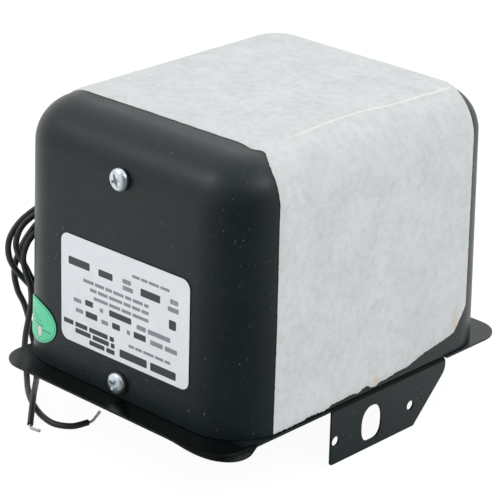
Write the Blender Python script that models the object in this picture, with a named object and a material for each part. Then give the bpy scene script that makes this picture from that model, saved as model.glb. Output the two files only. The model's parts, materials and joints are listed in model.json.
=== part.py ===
"""Ignition transformer: a drawn steel can on a folded base plate, with its core, coils and bushings.

Metres, +Z up.  The origin lies on the underside of the base plate, below the middle of the can.
The front, with the screws and the rating label, faces -Y, and the folded tab is on the +X side.
"""
import math

import bmesh
import bpy
from mathutils import Matrix, Vector

# Clearance between pieces that rest on each other
TOUCH = 0.0003

# How far drills and cutters reach past what they cut
DRILL_REACH = 0.0100
CUT_LAP = 0.0010

# Base plate, folded from one flat blank
PLATE_THICKNESS = 0.0009
PLATE_FRONT_LIP = 0.0098
PLATE_BACK_LIP = 0.0065
PLATE_RIGHT_LIP = 0.0010
PLATE_LEFT_INSET = 0.0028
PLATE_CORNER = 0.0120
PLATE_CORNER_STEPS = 7
BEND_RADIUS = 0.0020
BEND_STEPS = 6

# Tab folded down from the plate's right edge
TAB_FRONT = 0.0248
TAB_BACK = 0.0456
TAB_DROP = 0.0240
TAB_CHAMFER = 0.0192
TAB_ROUND = 0.0010
TAB_BLEND = 0.0060
TAB_RELIEF = 0.0010
TAB_HOLE_PLACE = 0.0009
TAB_HOLE_DROP = 0.0139
TAB_HOLE_PITCH = 0.0230
TAB_HOLE_RADIUS = 0.0021
TAB_SLOT_RADIUS = 0.0076
TAB_SLOT_FLAT = 0.0064
TAB_HOLE_STEPS = 18

# Lip turned down round the front right corner, slight in front and full at the right
LIP_CORNER = 0.0140
LIP_DROP = 0.0038
LIP_FRONT_RUN = 0.0150
LIP_RIGHT_RUN = 0.0065
LIP_FRONT_SHARE = 0.25
LIP_FRONT_STEPS = 4
LIP_STEPS = 12
LIP_RIGHT_STEPS = 6
LIP_ROWS = 6

# Drawn can
CAN_WIDTH = 0.1300
CAN_DEPTH = 0.1560
CAN_HEIGHT = 0.1100
CAN_WALL = 0.0012
CAN_CORNER = 0.0235
CAN_TOP_RADIUS = 0.0188
CAN_DRAFT = math.radians(0.8)
CORNER_STEPS = 9
TOP_STEPS = 8

# Pan-head machine screws that hold the can to the bracket and the angle inside it
SCREW_HEAD_RADIUS = 0.0047
SCREW_HEAD_HEIGHT = 0.0030
SCREW_SHANK_RADIUS = 0.0021
SCREW_LENGTH = 0.0095
SCREW_HOLE_RADIUS = 0.0026
SCREW_ABOVE_SHOULDER = 0.0010
SCREW_ABOVE_RIM = 0.0065
SCREW_OFFSET = 0.0004
SCREW_TURNS = {"upper": 24, "lower": 61}
RECESS_WIDTH = 0.0011
RECESS_SPAN = 0.0052
RECESS_DEPTH = 0.0017

# Outline of a screw's head as shares of its radius and height, and the foot of its recess
HEAD_PROFILE = ((1.0, 0.0), (1.0, 0.37), (0.915, 0.63), (0.72, 0.87), (0.38, 1.0))
RECESS_FOOT_SPAN = 0.62
RECESS_FOOT_WIDTH = 0.77

# Core of laminations: an E of three limbs and a yoke, closed by a straight yoke
CORE_SIDE_ROOM = 0.0150
CORE_END_ROOM = 0.0180
CORE_STACK = 0.0250
CORE_LIMB_SHARE = 0.24
CORE_RAISE = 0.0018
CORE_BOLT_RADIUS = 0.0020
CORE_BOLT_HEAD = 0.0035
CORE_BOLT_HEAD_HEIGHT = 0.0028
CORE_BOLT_END = 0.0010
HEXAGON_STEPS = 24

# Coils on the middle limb, with a shunt stack on either side of the primary
TUBE_WALL = 0.0012
TUBE_CORNER = 0.0015
PRIMARY_LENGTH = 0.0280
PRIMARY_ROOM = 0.0069
SECONDARY_ROOM = 0.0029
COIL_CORNER = 0.0060
COIL_INNER_SHARE = 0.2
COIL_STEPS = 4
SHUNT_LENGTH = 0.0050
SHUNT_AIR_GAP = 0.0008

# Sheet metal that carries the core and receives the screws
BRACKET_THICKNESS = 0.0020
BRACKET_WIDTH = 0.0240
BRACKET_ABOVE_SCREW = 0.0054
ANGLE_WIDTH = 0.0200
ANGLE_HEIGHT = 0.0125
ANGLE_FOOT = 0.0110

# High-voltage bushings, their studs, gaskets and terminals
BUSHING_SPACING = 0.0520
BUSHING_OFFSET = -0.0140
BUSHING_BODY_RADIUS = 0.0100
BUSHING_FLANGE_RADIUS = 0.0140
BUSHING_FLANGE_HEIGHT = 0.0040
BUSHING_DROP = 0.0160
BUSHING_GROOVE = 0.0016
BUSHING_CHAMFER = 0.0010
FLANGE_CHAMFER = 0.0006
GASKET_THICKNESS = 0.0015
GASKET_INSET = 0.0004
STUD_RADIUS = 0.0020
STUD_RISE = 0.0035
STUD_GRIP = 0.0040
TERMINAL_RADIUS = 0.0042
TERMINAL_TAPER = 0.0018
TERMINAL_TIP_SHARE = 0.62
TERMINAL_DROP = TAB_DROP
BUSHING_HOLE_STEPS = 24
ROUND_STEPS = 20

# Lead wires, the grommet they leave by, and their bare ends
LEAD_DIAMETER = 0.0026
CONDUCTOR_DIAMETER = 0.0013
GROMMET_RADIUS = 0.0056
GROMMET_FLANGE = 0.0075
GROMMET_FLANGE_THICKNESS = 0.0018
GROMMET_CHAMFER = 0.0007
GROMMET_STEPS = 24
GROMMET_HEIGHT = 0.0507
GROMMET_PLACE = -0.0140
LEAD_SPACING = 0.0044
LEAD_BEND = 0.0056
LEAD_STUB = 0.0004

# The leads' tails inside the can, from the primary over the core to the grommet
TAIL_START = 0.0060
TAIL_LIFT = 0.0100
TAIL_SWAY = 0.0020
TAIL_BESIDE = 0.0031

# Wires from the secondaries: to the studs, and to the core by a short loop
WIRE_DIAMETER = 0.0012
WIRE_LEAN = 0.0040
WIRE_LANDING = 0.0015
EARTH_WIRE_PLACE = 0.0212
EARTH_WIRE_LEAN = 0.0012
EARTH_WIRE_RISE = 0.0070
EARTH_WIRE_SHAPE = ((1.0, 0.0, 1.0), (0.6, 0.26, 0.94), (0.2, 0.87, 0.57), (0.0, 1.0, 0.03))
WIRE_STEP = 2.0
ROUTE_FINE_STEPS = 16

# Potting compound that fills the can round the core and coils
FILL_BOTTOM = 0.0060
CHANNEL_WIDTH = 0.0290
LEAD_CHANNEL_AHEAD = 0.0180
LEAD_CHANNEL_BEHIND = 0.0260
LEAD_CHANNEL_RISE = 0.0160

# Rating label, oval sticker and paper sheet on the outside
LABEL_SIDE_ROOM = 0.0053
LABEL_HEIGHT = 0.0458
LABEL_CORNER = 0.0040
LABEL_CORNER_STEPS = 5
LABEL_OFFSET = 0.0021
LABEL_LEVEL = 0.0399
LABEL_TILT = math.radians(-0.5)
LABEL_THICKNESS = 0.00015
STICKER_LENGTH = 0.0272
STICKER_HEIGHT = 0.0184
STICKER_PLACE = -0.0087
STICKER_LEVEL = 0.0184
STICKER_THICKNESS = 0.00015
STICKER_STRIP = 0.0025
STICKER_STEPS = 36
SHEET_THICKNESS = 0.00025
SHEET_BACK_ROOM = 0.0195
SHEET_OVER_STEPS = 4
SHEET_LEFT_DROP = 0.0060
SHEET_ROWS = 5

# The sheet's front edge on the right: distance from the can's front, by the way down, which is
# 0 at the top, 1 at the shoulder's foot and 2 at the sheet's own foot
SHEET_FRONT_ROOM = (
    (0.0, 0.0274), (0.125, 0.0277), (0.25, 0.0263), (0.375, 0.0244), (0.5, 0.0233),
    (0.75, 0.0224), (1.0, 0.0219), (1.5, 0.0214), (2.0, 0.0203),
)

# How far the sheet reaches past its back edge, over the can's back shoulder, by the way down
SHEET_OVER_BACK = (
    (0.0, 0.0105), (0.125, 0.0070), (0.2, 0.0062), (0.34, 0.0034), (0.47, 0.0020),
    (0.6, 0.0012), (0.77, 0.0005), (1.0, 0.0),
)

# Torn lower edge of the sheet on the right face: share of its width from the front, and height
# above the can's rim
SHEET_TORN_EDGE = (
    (0.0000, 0.0005), (0.1039, 0.0004), (0.1472, 0.0006), (0.1628, 0.0011), (0.2199, 0.0008),
    (0.2519, 0.0005), (0.2831, 0.0017), (0.3264, 0.0018), (0.3905, 0.0022), (0.4234, 0.0014),
    (0.4450, 0.0024), (0.4719, 0.0029), (0.4840, 0.0015), (0.5117, 0.0010), (0.5385, 0.0020),
    (0.5671, 0.0020), (0.6338, 0.0030), (0.6805, 0.0030), (0.7835, 0.0061), (0.8537, 0.0072),
    (0.9342, 0.0089), (1.0000, 0.0193),
)

# Route points of the two leads after the grommet, over one loop and down to the table:
# distance out from the can's left side, place along Y and height
LEAD_A_ROUTE = (
    (0.0048, -0.0119, 0.0509), (0.0080, -0.0137, 0.0514), (0.0102, -0.0180, 0.0523),
    (0.0112, -0.0245, 0.0533), (0.0115, -0.0320, 0.0540), (0.0115, -0.0420, 0.0543),
    (0.0110, -0.0530, 0.0527), (0.0110, -0.0620, 0.0492), (0.0110, -0.0676, 0.0437),
    (0.0110, -0.0686, 0.0372), (0.0110, -0.0662, 0.0307), (0.0110, -0.0612, 0.0240),
    (0.0110, -0.0545, 0.0167), (0.0105, -0.0465, 0.0117), (0.0105, -0.0380, 0.0117),
    (0.0115, -0.0310, 0.0172), (0.0130, -0.0285, 0.0257), (0.0140, -0.0315, 0.0352),
    (0.0145, -0.0385, 0.0427), (0.0145, -0.0470, 0.0449), (0.0142, -0.0545, 0.0407),
    (0.0140, -0.0602, 0.0342), (0.0140, -0.0630, 0.0267), (0.0140, -0.0615, 0.0177),
    (0.0140, -0.0580, 0.0102), (0.0137, -0.0560, 0.0032), (0.0128, -0.0550, -0.0043),
    (0.0110, -0.0547, -0.0118), (0.0082, -0.0565, -0.0178), (0.0040, -0.0604, -0.0208),
    (-0.0012, -0.0656, -0.0203), (-0.0084, -0.0728, -0.0190), (-0.0152, -0.0797, -0.0201),
    (-0.0233, -0.0880, -0.0226),
)
LEAD_B_ROUTE = (
    (0.0046, -0.0169, 0.0507), (0.0066, -0.0190, 0.0510), (0.0075, -0.0223, 0.0515),
    (0.0080, -0.0290, 0.0523), (0.0080, -0.0380, 0.0530), (0.0080, -0.0485, 0.0530),
    (0.0080, -0.0580, 0.0512), (0.0080, -0.0642, 0.0479), (0.0080, -0.0669, 0.0422),
    (0.0080, -0.0656, 0.0362), (0.0080, -0.0620, 0.0300), (0.0080, -0.0570, 0.0209),
    (0.0075, -0.0500, 0.0144), (0.0070, -0.0415, 0.0139), (0.0060, -0.0355, 0.0197),
    (0.0050, -0.0345, 0.0287), (0.0045, -0.0382, 0.0375), (0.0045, -0.0460, 0.0444),
    (0.0047, -0.0550, 0.0462), (0.0050, -0.0620, 0.0432), (0.0050, -0.0657, 0.0367),
    (0.0050, -0.0645, 0.0292), (0.0057, -0.0615, 0.0217), (0.0070, -0.0600, 0.0137),
    (0.0085, -0.0603, 0.0057), (0.0100, -0.0608, -0.0023), (0.0115, -0.0603, -0.0103),
    (0.0119, -0.0596, -0.0148), (0.0106, -0.0602, -0.0193), (0.0075, -0.0626, -0.0219),
    (0.0033, -0.0660, -0.0226), (-0.0032, -0.0707, -0.0226), (-0.0120, -0.0758, -0.0226),
    (-0.0215, -0.0796, -0.0226), (-0.0300, -0.0806, -0.0226), (-0.0364, -0.0768, -0.0226),
    (-0.0384, -0.0698, -0.0226),
)
TIP_A_ROUTE = (
    (-0.0236, -0.0883, -0.0227), (-0.0251, -0.0893, -0.0229), (-0.0268, -0.0892, -0.0231),
    (-0.0296, -0.0882, -0.0232),
)
TIP_B_ROUTE = (
    (-0.0384, -0.0693, -0.0228), (-0.0379, -0.0670, -0.0231), (-0.0360, -0.0632, -0.0232),
    (-0.0338, -0.0590, -0.0232),
)

# Heights and places worked out from the sizes above
RIM_LEVEL = PLATE_THICKNESS + TOUCH
TOP_LEVEL = RIM_LEVEL + CAN_HEIGHT
SHOULDER_LEVEL = TOP_LEVEL - CAN_TOP_RADIUS
PLATE_RIGHT = CAN_WIDTH / 2 + PLATE_RIGHT_LIP
PLATE_LEFT = PLATE_LEFT_INSET - CAN_WIDTH / 2
PLATE_FRONT = -CAN_DEPTH / 2 - PLATE_FRONT_LIP
PLATE_BACK = CAN_DEPTH / 2 + PLATE_BACK_LIP
SCREW_UPPER_HEIGHT = SHOULDER_LEVEL + SCREW_ABOVE_SHOULDER
SCREW_LOWER_HEIGHT = RIM_LEVEL + SCREW_ABOVE_RIM
BEND_START = PLATE_RIGHT - BEND_RADIUS
BEND_ARC = BEND_RADIUS * math.pi / 2
LABEL_WIDTH = CAN_WIDTH - 2 * CAN_CORNER - 2 * LABEL_SIDE_ROOM
SHEET_FRONT_FOOT = SHEET_FRONT_ROOM[-1][1] - CAN_DEPTH / 2
SHEET_BACK = CAN_DEPTH / 2 - SHEET_BACK_ROOM
CORE_WIDTH = CAN_WIDTH - 2 * CORE_SIDE_ROOM
CORE_LENGTH = CAN_DEPTH - 2 * CORE_END_ROOM
CORE_MIDDLE_LIMB = CORE_WIDTH * CORE_LIMB_SHARE
CORE_SIDE_LIMB = CORE_MIDDLE_LIMB / 2
CORE_LEVEL = RIM_LEVEL + CAN_HEIGHT / 2 + CORE_RAISE
CORE_TOP = CORE_LEVEL + CORE_STACK / 2
CORE_BOTTOM = CORE_LEVEL - CORE_STACK / 2
WINDOW_WIDTH = CORE_WIDTH / 2 - CORE_MIDDLE_LIMB / 2 - CORE_SIDE_LIMB
TUBE_BUILD = TUBE_WALL + 3 * TOUCH
PRIMARY_BUILD = WINDOW_WIDTH - TUBE_BUILD - PRIMARY_ROOM
SECONDARY_BUILD = WINDOW_WIDTH - TUBE_BUILD - SECONDARY_ROOM
BRACKET_RISE = SCREW_UPPER_HEIGHT + BRACKET_ABOVE_SCREW - CORE_TOP - TOUCH
WINDOW_LENGTH = CORE_LENGTH - 2 * CORE_SIDE_LIMB - TOUCH
SECONDARY_LENGTH = (WINDOW_LENGTH - PRIMARY_LENGTH - 2 * SHUNT_LENGTH - 6 * TOUCH) / 2
SECONDARY_PLACE = PRIMARY_LENGTH / 2 + SHUNT_LENGTH + 2 * TOUCH + SECONDARY_LENGTH / 2
WINDOW_MIDDLE = TOUCH / 2
BOLT_PLACE = CORE_LENGTH / 2 - CORE_SIDE_LIMB / 2


def colour(red, green, blue):
    """Linear colour of an sRGB colour given as 0 to 255."""
    def linear(value):
        share = value / 255
        return share / 12.92 if share <= 0.04045 else ((share + 0.055) / 1.055) ** 2.4
    return (linear(red), linear(green), linear(blue), 1.0)


# Name: colour, roughness, metallic value
FINISHES = {
    "satin_black_paint": (colour(48, 54, 57), 0.45, 0.0),
    "zinc_plate": (colour(196, 204, 208), 0.28, 1.0),
    "lamination_steel": (colour(92, 92, 96), 0.45, 0.9),
    "bare_steel": (colour(150, 152, 155), 0.35, 1.0),
    "coil_wrap": (colour(196, 164, 96), 0.60, 0.0),
    "press_board": (colour(168, 142, 104), 0.80, 0.0),
    "porcelain": (colour(236, 233, 224), 0.12, 0.0),
    "brass": (colour(196, 160, 84), 0.30, 1.0),
    "gasket_rubber": (colour(40, 38, 37), 0.70, 0.0),
    "lead_insulation": (colour(44, 47, 48), 0.42, 0.0),
    "tinned_copper": (colour(196, 196, 192), 0.30, 1.0),
    "potting_compound": (colour(22, 20, 19), 0.50, 0.0),
    "label_film": (colour(226, 231, 236), 0.35, 0.0),
    "sticker_green": (colour(88, 214, 160), 0.45, 0.0),
    "fibre_paper": (colour(214, 217, 217), 0.85, 0.0),
}


def clear_scene():
    """Remove what the scene holds before the model is built."""
    for item in list(bpy.data.objects):
        bpy.data.objects.remove(item, do_unlink=True)


def finish(name):
    """The Principled material of one of the finishes, made once."""
    found = bpy.data.materials.get(name)
    if found:
        return found
    tint, roughness, metallic = FINISHES[name]
    made = bpy.data.materials.new(name)
    made.use_nodes = True
    made.diffuse_color = tint
    shader = made.node_tree.nodes["Principled BSDF"]
    shader.inputs["Base Color"].default_value = tint
    shader.inputs["Roughness"].default_value = roughness
    shader.inputs["Metallic"].default_value = metallic
    return made


def add_object(name, data, finish_name=None):
    """Put a mesh or curve in the scene under a piece's name."""
    item = bpy.data.objects.new(name, data)
    bpy.context.collection.objects.link(item)
    if finish_name:
        data.materials.append(finish(finish_name))
    return item


def mesh_from(name, shape, smooth_angle=math.radians(32)):
    """Turn a bmesh into a mesh, smooth where faces meet at less than the given angle."""
    bmesh.ops.recalc_face_normals(shape, faces=shape.faces)
    data = bpy.data.meshes.new(name)
    shape.to_mesh(data)
    shape.free()
    data.shade_smooth()
    data.set_sharp_from_angle(angle=smooth_angle)
    return data


def loft(rings, close_bottom=True, close_top=True, join_ends=False):
    """Skin rings of equally many points, from the bottom ring to the top one."""
    shape = bmesh.new()
    loops = [[shape.verts.new(point) for point in ring] for ring in rings]
    pairs = list(zip(loops, loops[1:]))
    if join_ends:
        pairs.append((loops[-1], loops[0]))
    for lower, upper in pairs:
        for index in range(len(lower)):
            after = (index + 1) % len(lower)
            shape.faces.new((lower[index], lower[after], upper[after], upper[index]))
    if close_bottom and not join_ends:
        shape.faces.new(reversed(loops[0]))
    if close_top and not join_ends:
        shape.faces.new(loops[-1])
    return shape


def prism(outline, bottom, top):
    """A flat outline, anticlockwise from above, raised from one height to another."""
    return loft([[(x, y, level) for x, y in outline] for level in (bottom, top)])


def lathe(profile, hollow=False, steps=ROUND_STEPS):
    """Turn (radius, height) points about Z; a hollow profile closes on itself."""
    rings = []
    for radius, height in profile:
        turns = [2 * math.pi * step / steps for step in range(steps)]
        rings.append([(radius * math.cos(turn), radius * math.sin(turn), height) for turn in turns])
    return loft(rings, join_ends=hollow)


def arc(centre, radius, start, end, steps):
    """Points of an arc between two angles in degrees, both ends included."""
    points = []
    for step in range(steps + 1):
        angle = math.radians(start + (end - start) * step / steps)
        points.append((centre[0] + radius * math.cos(angle), centre[1] + radius * math.sin(angle)))
    return points


def circle(centre, radius, steps):
    """Points evenly round a circle."""
    return arc(centre, radius, 0, 360 - 360 / steps, steps - 1)


def rounded_rectangle(half_x, half_y, radius, steps):
    """Anticlockwise outline of a rectangle with round corners."""
    points = []
    for quarter, (side_x, side_y) in enumerate(((1, 1), (-1, 1), (-1, -1), (1, -1))):
        centre = (side_x * (half_x - radius), side_y * (half_y - radius))
        points += arc(centre, radius, 90 * quarter, 90 * quarter + 90, steps)
    return points


def rectangle(low_x, high_x, low_y, high_y):
    """Anticlockwise outline of a rectangle."""
    return [(low_x, low_y), (high_x, low_y), (high_x, high_y), (low_x, high_y)]


def place(item, location=(0, 0, 0), rotation=(0, 0, 0)):
    """Set an object's place and turn, and hand the object back."""
    item.location = location
    item.rotation_euler = rotation
    return item


def cut(target, shape, name, location=(0, 0, 0), rotation=(0, 0, 0)):
    """Subtract a bmesh from an object with a hidden cutter and a Boolean."""
    cutter = place(add_object(name, mesh_from(name, shape)), location, rotation)
    cutter.hide_render = True
    cutter.display_type = "WIRE"
    modifier = target.modifiers.new(name, "BOOLEAN")
    modifier.operation = "DIFFERENCE"
    modifier.solver = "EXACT"
    modifier.object = cutter


def drill(target, name, radius, start, end, steps=16):
    """Cut a round hole along the line between two points."""
    start, end = Vector(start), Vector(end)
    span = end - start
    shape = lathe([(radius, 0), (radius, span.length)], steps=steps)
    turn = span.to_track_quat("Z", "Y").to_euler()
    cut(target, shape, name, start, turn)


def cut_box(target, name, low, high):
    """Cut a box between two opposite corners."""
    outline = rectangle(low[0], high[0], low[1], high[1])
    cut(target, prism(outline, low[2], high[2]), name)


def settled_mesh(item):
    """The mesh of an object with its modifiers applied, for copies that share it."""
    bpy.context.view_layer.update()
    evaluated = item.evaluated_get(bpy.context.evaluated_depsgraph_get())
    return bpy.data.meshes.new_from_object(evaluated)


def can_section(level):
    """Half width, half depth and corner radius of the can's outside at a height."""
    lean = (min(level, SHOULDER_LEVEL) - RIM_LEVEL) * math.tan(CAN_DRAFT)
    above = max(0.0, min(level, TOP_LEVEL) - SHOULDER_LEVEL)
    inset = CAN_TOP_RADIUS - math.sqrt(max(0.0, CAN_TOP_RADIUS ** 2 - above ** 2))
    shrink = lean + inset
    return CAN_WIDTH / 2 - shrink, CAN_DEPTH / 2 - shrink, CAN_CORNER - inset


def can_rings(bottom, offset):
    """Rings of the can's outside moved inward by an offset, from a height up to the flat top."""
    rings = []
    levels = [(bottom, 0.0)]
    levels += [(None, 90 * step / TOP_STEPS) for step in range(TOP_STEPS + 1)]
    side_lean = math.tan(CAN_DRAFT)
    for level, turn in levels:
        radius = CAN_TOP_RADIUS - offset
        if level is None:
            level = SHOULDER_LEVEL + radius * math.sin(math.radians(turn))
        inset = radius * (1 - math.cos(math.radians(turn)))
        lean = (min(level, SHOULDER_LEVEL) - RIM_LEVEL) * side_lean
        shrink = lean + offset + inset
        corner = CAN_CORNER - offset - inset
        half_x, half_y = CAN_WIDTH / 2 - shrink, CAN_DEPTH / 2 - shrink
        outline = rounded_rectangle(half_x, half_y, corner, CORNER_STEPS)
        rings.append([(x, y, level) for x, y in outline])
    return rings


def wall_depth(level):
    """Distance of the can's inner front wall from the middle at a height."""
    return can_section(level)[1] - CAN_WALL


def build_can():
    """The deep-drawn can: tapered walls, round corners and a round shoulder, open at the rim."""
    surface = loft(can_rings(RIM_LEVEL, 0.0), close_bottom=False)
    can = add_object("case", mesh_from("case", surface), "satin_black_paint")
    shell = can.modifiers.new("wall", "SOLIDIFY")
    shell.thickness = CAN_WALL
    shell.offset = -1
    shell.use_even_offset = True
    reach = CAN_DEPTH / 2 + DRILL_REACH
    for name, level in (("upper", SCREW_UPPER_HEIGHT), ("lower", SCREW_LOWER_HEIGHT)):
        start = (SCREW_OFFSET, -reach, level)
        drill(can, f"{name}_screw_holes", SCREW_HOLE_RADIUS, start, (SCREW_OFFSET, reach, level))
    wall = (-CAN_WIDTH / 2, GROMMET_PLACE, GROMMET_HEIGHT)
    inward = Vector((math.cos(CAN_DRAFT), 0, -math.sin(CAN_DRAFT))) * DRILL_REACH
    drill(can, "grommet_hole", GROMMET_RADIUS, Vector(wall) - inward, Vector(wall) + inward)


def bent(past, turn):
    """Reach and drop of a point of the sheet's outer face, a distance past a bend's start."""
    round_part = min(turn, past / BEND_RADIUS)
    straight = past - round_part * BEND_RADIUS
    reach = BEND_RADIUS * math.sin(round_part) + straight * math.cos(round_part)
    drop = BEND_RADIUS * (1 - math.cos(round_part)) + straight * math.sin(round_part)
    return reach, drop


def ease(share):
    """A smooth step from 0 to 1."""
    share = min(1.0, max(0.0, share))
    return share * share * (3 - 2 * share)


def lip_stations():
    """Bend-line places round the front right corner, each with its direction outward and its turn."""
    radius = LIP_CORNER - BEND_RADIUS
    centre = (PLATE_RIGHT - LIP_CORNER, PLATE_FRONT + LIP_CORNER)
    stations = []
    for step in range(LIP_FRONT_STEPS):
        share = step / LIP_FRONT_STEPS
        spot = (centre[0] - LIP_FRONT_RUN * (1 - share), PLATE_FRONT + BEND_RADIUS)
        stations.append((spot, (0.0, -1.0), LIP_FRONT_SHARE * ease(share)))
    for step in range(LIP_STEPS + 1):
        share = step / LIP_STEPS
        angle = math.pi / 2 * (share - 1)
        outward = (math.cos(angle), math.sin(angle))
        spot = (centre[0] + radius * outward[0], centre[1] + radius * outward[1])
        stations.append((spot, outward, LIP_FRONT_SHARE + (1 - LIP_FRONT_SHARE) * ease(share)))
    for step in range(1, LIP_RIGHT_STEPS + 1):
        share = step / LIP_RIGHT_STEPS
        spot = (BEND_START, centre[1] + LIP_RIGHT_RUN * share)
        stations.append((spot, (1.0, 0.0), 1 - ease(share)))
    return stations


def lip_point(station, row):
    """A point of the corner lip: a row out from the bend line at one of its stations."""
    spot, outward, share = station
    full = BEND_RADIUS * math.pi / 2 + LIP_DROP - BEND_RADIUS
    length = BEND_RADIUS + (full - BEND_RADIUS) * share
    reach, drop = bent(length * row / LIP_ROWS, share * math.pi / 2)
    return (spot[0] + outward[0] * reach, spot[1] + outward[1] * reach, PLATE_THICKNESS - drop)


def field_outline(stations):
    """Anticlockwise outline of the plate's flat field, without the corner lip and the tab."""
    left, right = PLATE_LEFT + PLATE_CORNER, PLATE_RIGHT - PLATE_CORNER
    front, back = PLATE_FRONT + PLATE_CORNER, PLATE_BACK - PLATE_CORNER
    points = arc((left, front), PLATE_CORNER, 180, 270, PLATE_CORNER_STEPS)
    points += [lip_point(stations[0], row)[:2] for row in range(LIP_ROWS, 0, -1)]
    points += [station[0] for station in stations]
    points += [lip_point(stations[-1], row)[:2] for row in range(1, LIP_ROWS + 1)]
    points += [(PLATE_RIGHT, -TAB_FRONT - TAB_RELIEF), (BEND_START, -TAB_FRONT - TAB_RELIEF)]
    points += [(BEND_START, -TAB_FRONT), (BEND_START, TAB_BACK), (BEND_START, TAB_BACK + TAB_RELIEF)]
    points += [(PLATE_RIGHT, TAB_BACK + TAB_RELIEF)]
    points += arc((right, back), PLATE_CORNER, 0, 90, PLATE_CORNER_STEPS)
    points += arc((left, back), PLATE_CORNER, 90, 180, PLATE_CORNER_STEPS)
    return points


def tab_place(drop):
    """Distance across the flat blank of a point that ends up a given drop below the plate."""
    return BEND_START + BEND_ARC + PLATE_THICKNESS - BEND_RADIUS + drop


def tab_outline():
    """Anticlockwise outline of the tab before it is folded down."""
    edge = tab_place(TAB_DROP)
    blend_turn = TAB_BLEND * math.tan(math.radians(22.5))
    points = [(BEND_START, TAB_BACK), (BEND_START, -TAB_FRONT)]
    points += arc((edge - TAB_ROUND, -TAB_FRONT + TAB_ROUND), TAB_ROUND, 270, 360, 3)
    points += [(edge, TAB_BACK - TAB_CHAMFER)]
    blend_centre = (edge - TAB_CHAMFER - blend_turn, TAB_BACK - TAB_BLEND)
    points += arc(blend_centre, TAB_BLEND, 45, 90, 4)
    return points


def tab_holes():
    """Outlines of the tab's holes: a double-D between two round ones."""
    across = tab_place(TAB_HOLE_DROP)
    centre = (across, TAB_HOLE_PLACE)
    corner = math.degrees(math.asin(TAB_SLOT_FLAT / TAB_SLOT_RADIUS))
    slot = arc(centre, TAB_SLOT_RADIUS, -corner, corner, 10)
    slot += arc(centre, TAB_SLOT_RADIUS, 180 - corner, 180 + corner, 10)
    places = [TAB_HOLE_PLACE + side * TAB_HOLE_PITCH for side in (-1, 1)]
    return [slot] + [circle((across, place), TAB_HOLE_RADIUS, TAB_HOLE_STEPS) for place in places]


def bushing_holes():
    """Outlines of the round holes that the two bushings pass through."""
    radius = BUSHING_BODY_RADIUS + TOUCH
    places = [side * BUSHING_SPACING / 2 for side in (-1, 1)]
    return [circle((BUSHING_OFFSET, place), radius, BUSHING_HOLE_STEPS) for place in places]


def slice_flat(shape, places):
    """Cut a flat mesh along lines of constant X, so that it can bend there."""
    for value in places:
        parts = shape.verts[:] + shape.edges[:] + shape.faces[:]
        line = (value, 0, 0)
        bmesh.ops.bisect_plane(shape, geom=parts, dist=1e-7, plane_co=line, plane_no=(1, 0, 0))


def filled(loops, level=0.0):
    """A flat mesh bounded by an outline and its holes."""
    shape = bmesh.new()
    for loop in loops:
        ring = [shape.verts.new((x, y, level)) for x, y in loop]
        for start, end in zip(ring, ring[1:] + ring[:1]):
            shape.edges.new((start, end))
    bmesh.ops.triangle_fill(shape, edges=shape.edges[:], use_beauty=True)
    return shape


def folded_tab():
    """The tab's flat shape, folded down along the plate's right edge."""
    shape = filled([tab_outline()] + tab_holes())
    bend_lines = [BEND_START + BEND_ARC * step / BEND_STEPS for step in range(1, BEND_STEPS + 2)]
    slice_flat(shape, bend_lines)
    for vertex in shape.verts:
        reach, drop = bent(max(0.0, vertex.co.x - BEND_START), math.pi / 2)
        vertex.co = (BEND_START + reach, vertex.co.y, PLATE_THICKNESS - drop)
    return shape


def corner_lip(stations):
    """The lip round the front right corner, as rows from the bend line outward."""
    shape = bmesh.new()
    rows = []
    for station in stations:
        rows.append([shape.verts.new(lip_point(station, row)) for row in range(LIP_ROWS + 1)])
    for near, far in zip(rows, rows[1:]):
        for row in range(LIP_ROWS):
            shape.faces.new((near[row], near[row + 1], far[row + 1], far[row]))
    return shape


def build_base_plate():
    """The plate: its flat field, corner lip and folded tab as one sheet, given its thickness."""
    stations = lip_stations()
    shape = filled([field_outline(stations)] + bushing_holes(), PLATE_THICKNESS)
    for part in (folded_tab(), corner_lip(stations)):
        data = bpy.data.meshes.new("plate_part")
        part.to_mesh(data)
        part.free()
        shape.from_mesh(data)
        bpy.data.meshes.remove(data)
    bmesh.ops.remove_doubles(shape, verts=shape.verts, dist=1e-6)
    plate = add_object("base_plate", mesh_from("base_plate", shape), "satin_black_paint")
    sheet = plate.modifiers.new("sheet", "SOLIDIFY")
    sheet.thickness = PLATE_THICKNESS
    sheet.offset = outward_offset(plate, Vector((0, 0, -1)))
    sheet.use_even_offset = True


def recess_cutter():
    """One wing of a screw's cross recess, narrower at its foot."""
    half_span, half_width = RECESS_SPAN / 2, RECESS_WIDTH / 2
    foot_span, foot_width = half_span * RECESS_FOOT_SPAN, half_width * RECESS_FOOT_WIDTH
    rings = []
    for half_x, half_y, level in (
        (foot_span, foot_width, SCREW_HEAD_HEIGHT - RECESS_DEPTH),
        (half_span, half_width, SCREW_HEAD_HEIGHT + CUT_LAP),
    ):
        rings.append([(x, y, level) for x, y in rectangle(-half_x, half_x, -half_y, half_y)])
    return loft(rings)


def screw_mesh():
    """A pan-head screw along Z with its seat at zero, and a cross recess in its head."""
    head = [(share * SCREW_HEAD_RADIUS, rise * SCREW_HEAD_HEIGHT) for share, rise in HEAD_PROFILE]
    profile = [(SCREW_SHANK_RADIUS, -SCREW_LENGTH), (SCREW_SHANK_RADIUS, 0.0)] + head
    model = add_object("screw_model", mesh_from("screw_model", lathe(profile)), "zinc_plate")
    for index, turn in enumerate((0.0, math.pi / 2)):
        cut(model, recess_cutter(), f"recess_{index}", rotation=(0, 0, turn))
    shared = settled_mesh(model)
    bpy.data.objects.remove(model)
    return shared


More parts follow.
